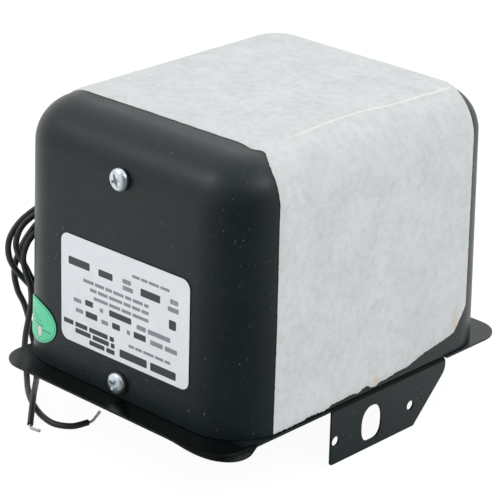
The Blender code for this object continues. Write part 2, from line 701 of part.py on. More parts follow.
def build_screws():
    """Four screws, upper and lower, on the front and back."""
    shared = screw_mesh()
    for side, facing in (("front", -1), ("back", 1)):
        for name, level in (("upper", SCREW_UPPER_HEIGHT), ("lower", SCREW_LOWER_HEIGHT)):
            seat = can_section(level - SCREW_HEAD_RADIUS)[1] + TOUCH
            turn = Matrix.Rotation(0 if facing < 0 else math.pi, 3, "Z")
            turn = turn @ Matrix.Rotation(math.pi / 2, 3, "X")
            turn = turn @ Matrix.Rotation(math.radians(SCREW_TURNS[name]), 3, "Z")
            screw = add_object(f"{side}_{name}_screw", shared)
            place(screw, (SCREW_OFFSET, facing * seat, level), turn.to_euler())


def build_core():
    """The stack of E laminations and the stack of straight ones that closes its windows."""
    half_x, half_y = CORE_WIDTH / 2, CORE_LENGTH / 2
    limb = CORE_MIDDLE_LIMB / 2
    open_end = -half_y + CORE_SIDE_LIMB + TOUCH
    inner = half_y - CORE_SIDE_LIMB
    side = half_x - CORE_SIDE_LIMB
    e_outline = [
        (-half_x, open_end), (-side, open_end), (-side, inner), (-limb, inner),
        (-limb, open_end), (limb, open_end), (limb, inner), (side, inner),
        (side, open_end), (half_x, open_end), (half_x, half_y), (-half_x, half_y),
    ]
    i_outline = rectangle(-half_x, half_x, -half_y, -half_y + CORE_SIDE_LIMB)
    for name, outline, facing in (("core_e_stack", e_outline, 1), ("core_i_stack", i_outline, -1)):
        shape = prism(outline, CORE_BOTTOM, CORE_TOP)
        stack = add_object(name, mesh_from(name, shape), "lamination_steel")
        start = (0, facing * BOLT_PLACE, CORE_BOTTOM - DRILL_REACH)
        end = (0, facing * BOLT_PLACE, CORE_TOP + DRILL_REACH)
        drill(stack, f"{name}_bolt_hole", CORE_BOLT_RADIUS + TOUCH, start, end)


def ring_coil(name, inner_half, build, length, middle, finish_name, corner):
    """A rectangular ring with round outer corners, wound about Y round the middle limb."""
    half_x, half_z = inner_half
    outer = rounded_rectangle(half_x + build, half_z + build, corner, COIL_STEPS)
    inner = rounded_rectangle(half_x, half_z, corner * COIL_INNER_SHARE, COIL_STEPS)
    near, far = -length / 2, length / 2
    rings = [[(x, y, level) for x, y in outline]
             for outline, level in ((outer, near), (outer, far), (inner, far), (inner, near))]
    coil = add_object(name, mesh_from(name, loft(rings, join_ends=True)), finish_name)
    return place(coil, (0, middle, CORE_LEVEL), (math.pi / 2, 0, 0))


def build_coils():
    """The limb's insulating tube, with the primary and the two secondaries on it."""
    tube = (CORE_MIDDLE_LIMB / 2 + TOUCH, CORE_STACK / 2 + TOUCH)
    seat = (tube[0] + TUBE_WALL + TOUCH, tube[1] + TUBE_WALL + TOUCH)
    tube_length = WINDOW_LENGTH - 2 * TOUCH
    ring_coil("limb_tube", tube, TUBE_WALL, tube_length, WINDOW_MIDDLE, "press_board", TUBE_CORNER)
    for name, build, length, middle in (
        ("primary_coil", PRIMARY_BUILD, PRIMARY_LENGTH, 0.0),
        ("front_secondary_coil", SECONDARY_BUILD, SECONDARY_LENGTH, -SECONDARY_PLACE),
        ("back_secondary_coil", SECONDARY_BUILD, SECONDARY_LENGTH, SECONDARY_PLACE),
    ):
        ring_coil(name, seat, build, length, WINDOW_MIDDLE + middle, "coil_wrap", COIL_CORNER)


def build_shunts():
    """The four shunt stacks between the primary and the secondaries, in the core's windows."""
    near = CORE_MIDDLE_LIMB / 2 + TUBE_WALL + 2 * TOUCH
    far = CORE_WIDTH / 2 - CORE_SIDE_LIMB - SHUNT_AIR_GAP
    for side, facing in (("front", -1), ("back", 1)):
        middle = WINDOW_MIDDLE + facing * (PRIMARY_LENGTH / 2 + TOUCH + SHUNT_LENGTH / 2)
        for hand, sign in (("left", -1), ("right", 1)):
            low_x, high_x = sorted((sign * near, sign * far))
            outline = rectangle(low_x, high_x, middle - SHUNT_LENGTH / 2, middle + SHUNT_LENGTH / 2)
            name = f"{side}_{hand}_shunt"
            shape = prism(outline, CORE_BOTTOM, CORE_TOP)
            add_object(name, mesh_from(name, shape), "lamination_steel")


def bent_strip(name, path, width, middle):
    """A strip of sheet metal whose (y, z) side outline is drawn across X."""
    low, high = middle - width / 2, middle + width / 2
    shape = loft([[(low, y, z) for y, z in path], [(high, y, z) for y, z in path]])
    return add_object(name, mesh_from(name, shape), "bare_steel")


def build_core_bracket(side, facing):
    """A bracket bolted on the core, with a thread for the upper screw."""
    seat = CORE_TOP + TOUCH
    foot_top = seat + BRACKET_THICKNESS
    inner = CORE_LENGTH / 2 - CORE_SIDE_LIMB
    top = seat + BRACKET_RISE
    lower_wall, upper_wall = wall_depth(seat) - TOUCH, wall_depth(top) - TOUCH
    path = [
        (inner, seat), (lower_wall, seat), (upper_wall, top), (upper_wall - BRACKET_THICKNESS, top),
        (lower_wall - BRACKET_THICKNESS, foot_top), (inner, foot_top),
    ]
    path = [(facing * y, z) for y, z in path]
    bracket = bent_strip(f"{side}_core_bracket", path, BRACKET_WIDTH, SCREW_OFFSET)
    start = (SCREW_OFFSET, facing * (upper_wall - DRILL_REACH), SCREW_UPPER_HEIGHT)
    end = (SCREW_OFFSET, facing * (upper_wall + DRILL_REACH), SCREW_UPPER_HEIGHT)
    drill(bracket, f"{side}_bracket_thread", SCREW_SHANK_RADIUS + TOUCH, start, end)
    start = (0, facing * BOLT_PLACE, seat - DRILL_REACH)
    end = (0, facing * BOLT_PLACE, foot_top + DRILL_REACH)
    drill(bracket, f"{side}_bracket_hole", CORE_BOLT_RADIUS + TOUCH, start, end)


def build_plate_angle(side, facing):
    """An angle that stands on the plate, with a thread for the lower screw."""
    floor = PLATE_THICKNESS + TOUCH
    top = floor + ANGLE_HEIGHT
    wall = wall_depth(top) - TOUCH
    path = [
        (wall, floor), (wall, top), (wall - BRACKET_THICKNESS, top),
        (wall - BRACKET_THICKNESS, floor + BRACKET_THICKNESS),
        (wall - ANGLE_FOOT, floor + BRACKET_THICKNESS), (wall - ANGLE_FOOT, floor),
    ]
    path = [(facing * y, z) for y, z in path]
    angle = bent_strip(f"{side}_plate_angle", path, ANGLE_WIDTH, SCREW_OFFSET)
    start = (SCREW_OFFSET, facing * (wall - DRILL_REACH), SCREW_LOWER_HEIGHT)
    end = (SCREW_OFFSET, facing * (wall + DRILL_REACH), SCREW_LOWER_HEIGHT)
    drill(angle, f"{side}_angle_thread", SCREW_SHANK_RADIUS + TOUCH, start, end)


def build_carriers():
    """The two brackets on the core and the two angles on the plate."""
    for side, facing in (("front", -1), ("back", 1)):
        build_core_bracket(side, facing)
        build_plate_angle(side, facing)


def round_ring(radius, level, steps):
    """A circle of points at a height."""
    turns = [2 * math.pi * step / steps for step in range(steps)]
    return [(radius * math.cos(turn), radius * math.sin(turn), level) for turn in turns]


def hexagon_ring(flat_radius, level, steps):
    """Points round a hexagon, as many as a circle that it is skinned with has."""
    points = []
    for step in range(steps):
        turn = 2 * math.pi * step / steps
        from_flat = (turn + math.pi / 6) % (math.pi / 3) - math.pi / 6
        radius = flat_radius / math.cos(from_flat)
        points.append((radius * math.cos(turn), radius * math.sin(turn), level))
    return points


def build_core_bolts():
    """A hexagon-head bolt down through each bracket and yoke, with a nut below."""
    head_seat = CORE_TOP + 2 * TOUCH + BRACKET_THICKNESS
    head_top = head_seat + CORE_BOLT_HEAD_HEIGHT
    nut_top = CORE_BOTTOM - TOUCH
    nut_bottom = nut_top - CORE_BOLT_HEAD_HEIGHT
    bolt_rings = [round_ring(CORE_BOLT_RADIUS, nut_bottom - CORE_BOLT_END, HEXAGON_STEPS),
                  round_ring(CORE_BOLT_RADIUS, head_seat, HEXAGON_STEPS),
                  hexagon_ring(CORE_BOLT_HEAD, head_seat, HEXAGON_STEPS),
                  hexagon_ring(CORE_BOLT_HEAD, head_top, HEXAGON_STEPS)]
    nut_rings = [hexagon_ring(CORE_BOLT_HEAD, nut_bottom, HEXAGON_STEPS),
                 hexagon_ring(CORE_BOLT_HEAD, nut_top, HEXAGON_STEPS),
                 round_ring(CORE_BOLT_RADIUS + TOUCH, nut_top, HEXAGON_STEPS),
                 round_ring(CORE_BOLT_RADIUS + TOUCH, nut_bottom, HEXAGON_STEPS)]
    for side, facing in (("front", -1), ("back", 1)):
        for piece, rings, hollow in (("core_bolt", bolt_rings, False), ("core_nut", nut_rings, True)):
            name = f"{side}_{piece}"
            shape = loft(rings, join_ends=hollow)
            place(add_object(name, mesh_from(name, shape), "zinc_plate"), (0, facing * BOLT_PLACE, 0))


def bushing_outline(flange_bottom, flange_top, bore):
    """Hollow profile of a bushing: a flange inside the can and two grooves on its body below."""
    body, flange = BUSHING_BODY_RADIUS, BUSHING_FLANGE_RADIUS
    neck = body - BUSHING_GROOVE
    pitch = BUSHING_DROP / 5
    outline = [(body - BUSHING_CHAMFER, -BUSHING_DROP), (body, -BUSHING_DROP + BUSHING_CHAMFER)]
    for groove in (1, 2):
        middle = -BUSHING_DROP + pitch * (2 * groove - 0.4)
        outline += [(body, middle - pitch * 0.55), (neck, middle - pitch * 0.25),
                    (neck, middle + pitch * 0.25), (body, middle + pitch * 0.55)]
    outline += [(body, flange_bottom), (flange, flange_bottom), (flange, flange_top - FLANGE_CHAMFER),
                (flange - FLANGE_CHAMFER, flange_top), (bore, flange_top), (bore, -BUSHING_DROP)]
    return outline


def build_bushings():
    """Two grooved porcelain bushings through the plate, with gasket, stud and terminal."""
    gasket_bottom = PLATE_THICKNESS + TOUCH
    gasket_top = gasket_bottom + GASKET_THICKNESS
    flange_bottom = gasket_top + TOUCH
    flange_top = flange_bottom + BUSHING_FLANGE_HEIGHT
    bore = STUD_RADIUS + TOUCH
    outer, inner = BUSHING_FLANGE_RADIUS - GASKET_INSET, BUSHING_BODY_RADIUS + TOUCH
    gasket = [(outer, gasket_bottom), (outer, gasket_top), (inner, gasket_top), (inner, gasket_bottom)]
    terminal_top = -BUSHING_DROP - TOUCH
    grip = terminal_top - STUD_GRIP
    stud = [(STUD_RADIUS, grip), (STUD_RADIUS, flange_top + STUD_RISE)]
    terminal = [(TERMINAL_RADIUS * TERMINAL_TIP_SHARE, -TERMINAL_DROP),
                (TERMINAL_RADIUS, -TERMINAL_DROP + TERMINAL_TAPER), (TERMINAL_RADIUS, terminal_top),
                (bore, terminal_top), (bore, grip - TOUCH)]
    for side, facing in (("front", -1), ("back", 1)):
        spot = (BUSHING_OFFSET, facing * BUSHING_SPACING / 2, 0)
        for piece, profile, hollow, look in (
            ("bushing", bushing_outline(flange_bottom, flange_top, bore), True, "porcelain"),
            ("bushing_gasket", gasket, True, "gasket_rubber"),
            ("terminal_stud", stud, False, "brass"),
            ("terminal_cap", terminal, False, "brass"),
        ):
            name = f"{side}_{piece}"
            place(add_object(name, mesh_from(name, lathe(profile, hollow)), look), spot)


def build_grommet():
    """The moulded grommet in the left wall, with a hole for each lead."""
    neck = GROMMET_RADIUS - TOUCH
    flange, rim = GROMMET_FLANGE, GROMMET_FLANGE - GROMMET_CHAMFER
    inner_seat = -CAN_WALL - TOUCH
    inner_face = inner_seat - GROMMET_FLANGE_THICKNESS
    outer_face = TOUCH + GROMMET_FLANGE_THICKNESS
    profile = [
        (rim, inner_face), (flange, inner_face + GROMMET_CHAMFER), (flange, inner_seat), (neck, inner_seat),
        (neck, TOUCH), (flange, TOUCH), (flange, outer_face - GROMMET_CHAMFER), (rim, outer_face),
    ]
    shape = lathe(profile, steps=GROMMET_STEPS)
    grommet = add_object("lead_grommet", mesh_from("lead_grommet", shape), "gasket_rubber")
    wall = can_section(GROMMET_HEIGHT)[0]
    place(grommet, (-wall, GROMMET_PLACE, GROMMET_HEIGHT), (0, CAN_DRAFT - math.pi / 2, 0))
    for hand, sign in (("a", 1), ("b", -1)):
        along = GROMMET_PLACE + sign * LEAD_SPACING / 2
        start = (-wall - DRILL_REACH, along, GROMMET_HEIGHT)
        end = (-wall + DRILL_REACH, along, GROMMET_HEIGHT)
        drill(grommet, f"lead_{hand}_hole", LEAD_DIAMETER / 2 + TOUCH, start, end)


def smooth_route(points, spacing):
    """Points at about an even spacing on one smooth curve through the route's own points."""
    knots = [Vector(point) for point in points]
    ends = [2 * knots[0] - knots[1]] + knots + [2 * knots[-1] - knots[-2]]
    fine = []
    for index in range(len(knots) - 1):
        before, start, end, after = ends[index:index + 4]
        bow = 2 * before - 5 * start + 4 * end - after
        twist = 3 * start - before - 3 * end + after
        for step in range(ROUTE_FINE_STEPS):
            t = step / ROUTE_FINE_STEPS
            fine.append(0.5 * (2 * start + (end - before) * t + bow * t * t + twist * t ** 3))
    fine.append(knots[-1])
    lengths = [0.0]
    for start, end in zip(fine, fine[1:]):
        lengths.append(lengths[-1] + (end - start).length)
    count = max(6, round(lengths[-1] / spacing) + 1)
    even, place_at = [], 0
    for step in range(count):
        wanted = lengths[-1] * step / (count - 1)
        while place_at < len(fine) - 2 and lengths[place_at + 1] < wanted:
            place_at += 1
        share = (wanted - lengths[place_at]) / (lengths[place_at + 1] - lengths[place_at])
        even.append(fine[place_at].lerp(fine[place_at + 1], share))
    return even


def wire(name, points, diameter, finish_name, stub=()):
    """A round wire along a smooth curve, after the points of a straight stub, with closed ends."""
    spots = [Vector(point) for point in stub] + smooth_route(points, diameter * WIRE_STEP)
    data = bpy.data.curves.new(name, "CURVE")
    data.dimensions = "3D"
    data.bevel_depth = diameter / 2
    data.bevel_resolution = 2
    data.use_fill_caps = True
    spline = data.splines.new("POLY")
    spline.points.add(len(spots) - 1)
    for point, spot in zip(spline.points, spots):
        point.co = (*spot, 1.0)
    return add_object(name, data, finish_name)


def left_of_can(points):
    """Points whose first value is the distance out from the can's left side, in the part's frame."""
    return [(-CAN_WIDTH / 2 - out, y, z) for out, y, z in points]


def build_lead(hand, along, route, tip):
    """A lead from the wall out through the grommet and along its route, with its bare end."""
    wall = can_section(GROMMET_HEIGHT)[0]
    exit_face = wall + TOUCH + GROMMET_FLANGE_THICKNESS + LEAD_STUB
    start = (-wall, along, GROMMET_HEIGHT)
    outside = [(-exit_face, along, GROMMET_HEIGHT)] + left_of_can(route)
    wire(f"lead_{hand}", outside, LEAD_DIAMETER, "lead_insulation", stub=[start])
    wire(f"lead_{hand}_bare_end", left_of_can(tip), CONDUCTOR_DIAMETER, "tinned_copper")


def build_primary_tail(hand, sign, along):
    """The lead's run inside the can, from the primary over the side limb and down to the grommet."""
    wall = can_section(GROMMET_HEIGHT)[0]
    coil_side = CORE_MIDDLE_LIMB / 2 + TUBE_BUILD + PRIMARY_BUILD
    coil_level = CORE_TOP + TAIL_LIFT
    over_limb = CORE_WIDTH / 2 - CORE_SIDE_LIMB / 2
    beside = CORE_WIDTH / 2 + TAIL_BESIDE
    start = sign * TAIL_START
    tail = [(-coil_side - TOUCH, start, coil_level), (-over_limb, start - TAIL_SWAY, coil_level + TAIL_SWAY),
            (-beside, (start + along) / 2, coil_level - 2 * TAIL_SWAY)]
    bend = arc((-beside - LEAD_BEND, GROMMET_HEIGHT + LEAD_BEND), LEAD_BEND, 0, -90, 3)
    tail += [(x, along, level) for x, level in bend]
    tail += [(-wall + TOUCH, along, GROMMET_HEIGHT)]
    wire(f"primary_tail_{hand}", tail, LEAD_DIAMETER, "lead_insulation")


def build_leads():
    """The two leads with their bare ends, and the tails that join them to the primary."""
    for hand, sign, route, tip in (
        ("a", 1, LEAD_A_ROUTE, TIP_A_ROUTE),
        ("b", -1, LEAD_B_ROUTE, TIP_B_ROUTE),
    ):
        along = GROMMET_PLACE + sign * LEAD_SPACING / 2
        build_lead(hand, along, route, tip)
        build_primary_tail(hand, sign, along)


def build_high_voltage_wire(side, facing):
    """From the underside of a secondary to its bushing's stud."""
    coil_bottom = CORE_BOTTOM - TUBE_BUILD - SECONDARY_BUILD
    stud_top = PLATE_THICKNESS + 2 * TOUCH + GASKET_THICKNESS + BUSHING_FLANGE_HEIGHT + STUD_RISE
    x, y = BUSHING_OFFSET, facing * BUSHING_SPACING / 2
    top = (x + WIRE_LEAN, facing * (SECONDARY_PLACE - WIRE_LEAN / 2), coil_bottom - TOUCH)
    middle = (x + WIRE_LEAN / 2, y + facing * WIRE_LEAN, (coil_bottom + stud_top) / 2)
    route = (top, middle, (x, y, stud_top + WIRE_LANDING), (x, y, stud_top + TOUCH))
    wire(f"{side}_high_voltage_wire", route, WIRE_DIAMETER, "tinned_copper")


def build_earth_wire(side, facing):
    """From the outer end of a secondary to the top of the yoke beside it."""
    start = facing * (SECONDARY_PLACE + SECONDARY_LENGTH / 2 + TOUCH) + WINDOW_MIDDLE
    end = facing * BOLT_PLACE
    route = []
    for lean, way, rise in EARTH_WIRE_SHAPE:
        level = CORE_TOP + TOUCH + EARTH_WIRE_RISE * rise
        route.append((EARTH_WIRE_PLACE - EARTH_WIRE_LEAN * lean, start + (end - start) * way, level))
    wire(f"{side}_earth_wire", route, WIRE_DIAMETER, "tinned_copper")


def build_coil_wires():
    """From each secondary, the wire to its bushing's stud and the wire to the core."""
    for side, facing in (("front", -1), ("back", 1)):
        build_high_voltage_wire(side, facing)
        build_earth_wire(side, facing)


def build_potting():
    """The compound that fills the can: a block with a pocket for the core and coils."""
    rings = can_rings(FILL_BOTTOM, CAN_WALL + TOUCH)
    fill = add_object("potting_compound", mesh_from("potting_compound", loft(rings)), "potting_compound")
    half_x, half_y = CORE_WIDTH / 2 + TOUCH, CORE_LENGTH / 2 + TOUCH
    low = FILL_BOTTOM - CUT_LAP
    pack_top = CORE_TOP + TUBE_BUILD + SECONDARY_BUILD + TOUCH
    cut_box(fill, "pack_pocket", (-half_x, -half_y, low), (half_x, half_y, pack_top))
    channel_top = CORE_TOP + TOUCH + BRACKET_RISE + CUT_LAP
    left, right = SCREW_OFFSET - CHANNEL_WIDTH / 2, SCREW_OFFSET + CHANNEL_WIDTH / 2
    for side, facing in (("front", -1), ("back", 1)):
        near, far = sorted((facing * (half_y - CUT_LAP), facing * (CAN_DEPTH / 2 + CUT_LAP)))
        cut_box(fill, f"{side}_bracket_channel", (left, near, low), (right, far, channel_top))
    front, back = GROMMET_PLACE - LEAD_CHANNEL_AHEAD, GROMMET_PLACE + LEAD_CHANNEL_BEHIND
    far, near = -CAN_WIDTH / 2 - CUT_LAP, CUT_LAP - half_x
    cut_box(fill, "lead_channel", (far, front, low), (near, back, CORE_TOP + LEAD_CHANNEL_RISE))


def build_label():
    """The rating label, a rounded film on the front face."""
    outline = rounded_rectangle(LABEL_WIDTH / 2, LABEL_HEIGHT / 2, LABEL_CORNER, LABEL_CORNER_STEPS)
    shape = prism(outline, 0.0, LABEL_THICKNESS)
    label = add_object("rating_label", mesh_from("rating_label", shape), "label_film")
    face = can_section(LABEL_LEVEL)[1] + TOUCH
    lean = Matrix.Rotation(math.pi / 2 - CAN_DRAFT, 3, "X") @ Matrix.Rotation(LABEL_TILT, 3, "Z")
    place(label, (LABEL_OFFSET, -face, LABEL_LEVEL), lean.to_euler())


def sticker_outline():
    """An oval in the unrolled plane of the front face and its left corner."""
    turns = [2 * math.pi * step / STICKER_STEPS for step in range(STICKER_STEPS)]
    half_length, half_height = STICKER_LENGTH / 2, STICKER_HEIGHT / 2
    return [(STICKER_PLACE + half_length * math.cos(turn), STICKER_LEVEL + half_height * math.sin(turn))
            for turn in turns]


def wrap_front_left(along, level, offset):
    """Point at a distance along the front face from where its left corner begins, off the can."""
    half_x, half_y, corner = can_section(level)
    start = -half_x + corner
    if along >= 0:
        return (start + along, -half_y - offset, level)
    turn = -along / corner
    reach = corner + offset
    return (start - reach * math.sin(turn), -half_y + corner - reach * math.cos(turn), level)


def build_sticker():
    """The oval sticker, bent round the can's front left corner."""
    shape = filled([sticker_outline()])
    low = min(vertex.co.x for vertex in shape.verts)
    count = int(-low / STICKER_STRIP)
    slice_flat(shape, [-STICKER_STRIP * step for step in range(count + 1)])
    bmesh.ops.triangulate(shape, faces=shape.faces)
    for vertex in shape.verts:
        vertex.co = wrap_front_left(vertex.co.x, vertex.co.y, TOUCH)
    sticker = add_object("oval_sticker", mesh_from("oval_sticker", shape), "sticker_green")
    film = sticker.modifiers.new("film", "SOLIDIFY")
    film.thickness = STICKER_THICKNESS
    film.offset = outward_offset(sticker, Vector((-1, -1, 0)))


def outward_offset(item, outward):
    """Solidify's offset that adds thickness on the side that a direction points to."""
    total = Vector((0, 0, 0))
    for face in item.data.polygons:
        total += face.normal * face.area
    return 1 if total.dot(outward) > 0 else -1


def between(table, place_at):
    """Value of a table of (place, value) pairs at a place, in straight lines from pair to pair."""
    for (start, low), (end, high) in zip(table, table[1:]):
        if place_at <= end:
            return low + (high - low) * (max(start, place_at) - start) / (end - start)
    return table[-1][1]


def torn_edge(along):
    """Height of the sheet's torn lower edge at a place along Y."""
    across = (along - SHEET_FRONT_FOOT) / (SHEET_BACK - SHEET_FRONT_FOOT)
    return RIM_LEVEL + between(SHEET_TORN_EDGE, across)


def skin_half_width(level, along):
    """Distance from the middle to the can's side at a height and a place along Y."""
    half_x, half_y, corner = can_section(level)
    over = max(0.0, abs(along) - (half_y - corner))
    return half_x - corner + math.sqrt(max(0.0, corner ** 2 - over ** 2))


def sheet_stations():
    """The sheet's path over the can, as (side, turn from upright in degrees or None, share down)."""
    turns = [90 * step / TOP_STEPS for step in range(TOP_STEPS + 1)]
    stations = [(-1, None, 1.0)]
    stations += [(-1, turn, 0.0) for turn in turns]
    stations += [(1, turn, 0.0) for turn in reversed(turns)]
    stations += [(1, None, step / SHEET_ROWS) for step in range(1, SHEET_ROWS + 1)]
    return stations


def top_above_shoulder(along):
    """Height of the can's top over the foot of its shoulder, at a place along Y."""
    past_flat = max(0.0, abs(along) - can_section(TOP_LEVEL)[1])
    return math.sqrt(max(0.0, CAN_TOP_RADIUS ** 2 - past_flat ** 2))


def off_skin(x, y, level):
    """A point of the can's wall or shoulder, moved off it by the clearance."""
    half_x, half_y, corner = can_section(SHOULDER_LEVEL)
    out_x = math.copysign(max(0.0, abs(x) - half_x + corner), x)
    out_y = math.copysign(max(0.0, abs(y) - half_y + corner), y)
    rise = min(1.0, max(0.0, (level - SHOULDER_LEVEL) / CAN_TOP_RADIUS))
    normal = Vector((out_x, out_y, 0.0)).normalized() * math.sqrt(1 - rise * rise)
    normal.z = rise
    return Vector((x, y, level)) + normal * TOUCH


def way_down(station):
    """How far down the sheet a station is: 0 on top, 1 at the shoulder's foot, 2 at its own foot."""
    side, turn, down = station
    return 1 + down if turn is None else 1 - turn / 90


def sheet_point(station, along):
    """The sheet's point at one of its stations and a place along Y."""
    side, turn, down = station
    if turn is None:
        foot = SHOULDER_LEVEL - SHEET_LEFT_DROP if side < 0 else torn_edge(along)
        level = SHOULDER_LEVEL + (foot - SHOULDER_LEVEL) * down
    else:
        level = SHOULDER_LEVEL + top_above_shoulder(along) * math.sin(math.radians(turn))
    return off_skin(side * skin_half_width(level, along), along, level)


def sheet_row(shape, station):
    """The sheet's vertices along one station, the last ones over the can's back shoulder."""
    way = way_down(station)
    front = between(SHEET_FRONT_ROOM, way if station[0] > 0 else 0.0) - CAN_DEPTH / 2
    places = [front + (SHEET_BACK - front) * share for share, height in SHEET_TORN_EDGE]
    row = [shape.verts.new(sheet_point(station, along)) for along in places]
    over = between(SHEET_OVER_BACK, way)
    for step in range(1, SHEET_OVER_STEPS + 1):
        along = SHEET_BACK + over * step / SHEET_OVER_STEPS
        row.append(shape.verts.new(sheet_point(station, along)) if over else row[-1])
    return row


def build_sheet():
    """The paper sheet that lies over the top and hangs down the right face."""
    shape = bmesh.new()
    rows = [sheet_row(shape, station) for station in sheet_stations()]
    for row, below in zip(rows, rows[1:]):
        for index in range(len(row) - 1):
            corners = (row[index], row[index + 1], below[index + 1], below[index])
            corners = list(dict.fromkeys(corners))
            if len(corners) > 2:
                shape.faces.new(corners)
    sheet = add_object("paper_sheet", mesh_from("paper_sheet", shape), "fibre_paper")
    paper = sheet.modifiers.new("paper", "SOLIDIFY")
    paper.thickness = SHEET_THICKNESS
    paper.offset = outward_offset(sheet, Vector((1, 0, 1)))


def main():
    clear_scene()
    build_base_plate()
    build_can()
    build_screws()
    build_core()
    build_coils()
    build_shunts()
    build_carriers()
    build_core_bolts()
    build_bushings()
    build_grommet()
    build_leads()
    build_coil_wires()
    build_potting()
    build_label()
    build_sticker()
    build_sheet()


main()
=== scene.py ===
"""Looks of the ignition transformer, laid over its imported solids.

Metres, +Z up.  The front, with the screws and the rating label, faces -Y, and the folded tab is on
the +X side.  The file is laid out as an add-on and is run as a script: main() calls the operators
in order.
"""
import json
import math
import random

import bmesh
import bpy
from bpy.props import FloatProperty, FloatVectorProperty, IntProperty, PointerProperty
from mathutils import Matrix, Vector, noise

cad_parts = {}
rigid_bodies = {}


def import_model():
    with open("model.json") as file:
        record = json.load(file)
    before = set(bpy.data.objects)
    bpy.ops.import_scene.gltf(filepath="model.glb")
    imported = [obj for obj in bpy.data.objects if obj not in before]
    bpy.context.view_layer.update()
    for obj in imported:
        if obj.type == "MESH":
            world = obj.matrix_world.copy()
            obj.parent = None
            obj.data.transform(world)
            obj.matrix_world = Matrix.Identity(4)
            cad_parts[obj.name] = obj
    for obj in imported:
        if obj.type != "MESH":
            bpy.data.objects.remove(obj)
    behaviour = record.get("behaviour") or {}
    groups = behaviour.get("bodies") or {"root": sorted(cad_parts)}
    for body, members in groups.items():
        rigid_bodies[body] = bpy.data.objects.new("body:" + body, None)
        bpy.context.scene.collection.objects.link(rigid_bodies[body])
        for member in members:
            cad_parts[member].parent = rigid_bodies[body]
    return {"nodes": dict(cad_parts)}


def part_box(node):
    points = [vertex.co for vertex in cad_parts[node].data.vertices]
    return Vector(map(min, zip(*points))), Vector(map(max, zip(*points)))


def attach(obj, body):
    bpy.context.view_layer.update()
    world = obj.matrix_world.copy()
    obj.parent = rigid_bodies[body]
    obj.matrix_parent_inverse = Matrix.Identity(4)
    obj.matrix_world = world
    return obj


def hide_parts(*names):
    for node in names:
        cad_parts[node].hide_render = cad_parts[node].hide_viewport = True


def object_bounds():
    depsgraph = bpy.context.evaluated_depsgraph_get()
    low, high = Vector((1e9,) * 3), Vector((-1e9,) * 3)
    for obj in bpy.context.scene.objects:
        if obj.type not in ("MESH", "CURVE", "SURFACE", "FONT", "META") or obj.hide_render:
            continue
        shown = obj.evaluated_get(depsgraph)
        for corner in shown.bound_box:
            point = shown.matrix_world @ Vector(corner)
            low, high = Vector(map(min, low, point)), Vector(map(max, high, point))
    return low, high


bl_info = {
    "name": "Ignition transformer looks",
    "version": (1, 0, 0),
    "blender": (4, 5, 0),
    "location": "View3D > Sidebar > Transformer",
    "description": "Finishes and fine detail of a potted ignition transformer",
    "category": "Object",
}


def clear_scene():
    """Remove what the scene holds before the frame is loaded."""
    for item in list(bpy.data.objects):
        bpy.data.objects.remove(item, do_unlink=True)


clear_scene()
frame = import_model()
CAD_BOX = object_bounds()
case_low, case_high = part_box("case")

# Clearance between pieces that rest on each other
TOUCH = 0.0003

# Drawn can, as in the part's source
CAN_WIDTH = case_high.x - case_low.x
CAN_DEPTH = case_high.y - case_low.y
RIM_LEVEL = case_low.z
TOP_LEVEL = case_high.z
CAN_WALL = 0.0012
CAN_CORNER = 0.0235
CAN_TOP_RADIUS = 0.0188
CAN_DRAFT = math.radians(0.8)
SHOULDER_LEVEL = TOP_LEVEL - CAN_TOP_RADIUS

PLATE_THICKNESS = 0.0009

# Middle hole of the tab: its middle and half size along Y and Z, the powers of its two ends'
# curves, its steps, and how far round it the solid's plain hole reaches
TAB_HOLE_MIDDLE = (-0.0003, -0.0131)
TAB_HOLE_HALF = (0.0061, 0.0077)
TAB_HOLE_ROUND = 2.2
TAB_HOLE_SQUARE = 2.8
TAB_HOLE_STEPS = 72
TAB_HOLE_CLEAR = 0.0100

# Where the plate's front strip takes a painted shadow of the can, in millimetres along X and along Y
SHADED_STRIP_FROM_LEFT = (-62.0, -36.0)
SHADED_STRIP_FROM_BACK = (-74.0, -68.0)

# Rounding of the plate's edges, how far the tab's faces look along +X, and between which shares of
# straight up a face belongs to a bend, whose paint carries painted shade
PLATE_EDGE_ROUND = 0.00016
TAB_FACING = 0.9
BEND_FACING = (0.2, 0.995)

# Shares of the can's wall where its rings lie, and how far cutters reach past what they go through
CAN_RING_SHARES = (0, 0.02, 0.06, 0.14, 0.26, 0.4, 0.55, 0.7, 0.85)
CUTTER_REACH = 0.01
TAB_CUTTER_REACH = 0.005

# Screws
SCREW_HEAD_RADIUS = 0.0047
SCREW_HEAD_HEIGHT = 0.0030
SCREW_SHANK_RADIUS = 0.0021
SCREW_LENGTH = 0.0095
SCREW_PITCH = 0.0008
SCREW_HOLE_RADIUS = 0.0026
SCREW_ABOVE_SHOULDER = 0.0010
SCREW_ABOVE_RIM = 0.0065
SCREW_OFFSET = 0.0004
SCREW_TURNS = {"upper": 24, "lower": 61}
SCREW_UPPER_HEIGHT = SHOULDER_LEVEL + SCREW_ABOVE_SHOULDER
SCREW_LOWER_HEIGHT = RIM_LEVEL + SCREW_ABOVE_RIM

# Wings of a screw's recess from its foot to above the head: share of its depth, half span as a share
# of its span, and half width
RECESS_WINGS = ((1.0, 0.20, 0.000462), (0.45, 0.42, 0.00055), (-0.6, 0.62, 0.000682))
RECESS_CORNER = 0.0002

# Leads and the grommet they leave by
GROMMET_RADIUS = 0.0056
GROMMET_FLANGE = 0.0075
GROMMET_FLANGE_THICKNESS = 0.0018
GROMMET_HEIGHT = 0.0507
GROMMET_PLACE = -0.0140
LEAD_SPACING = 0.0044
LEAD_STUB = 0.0004

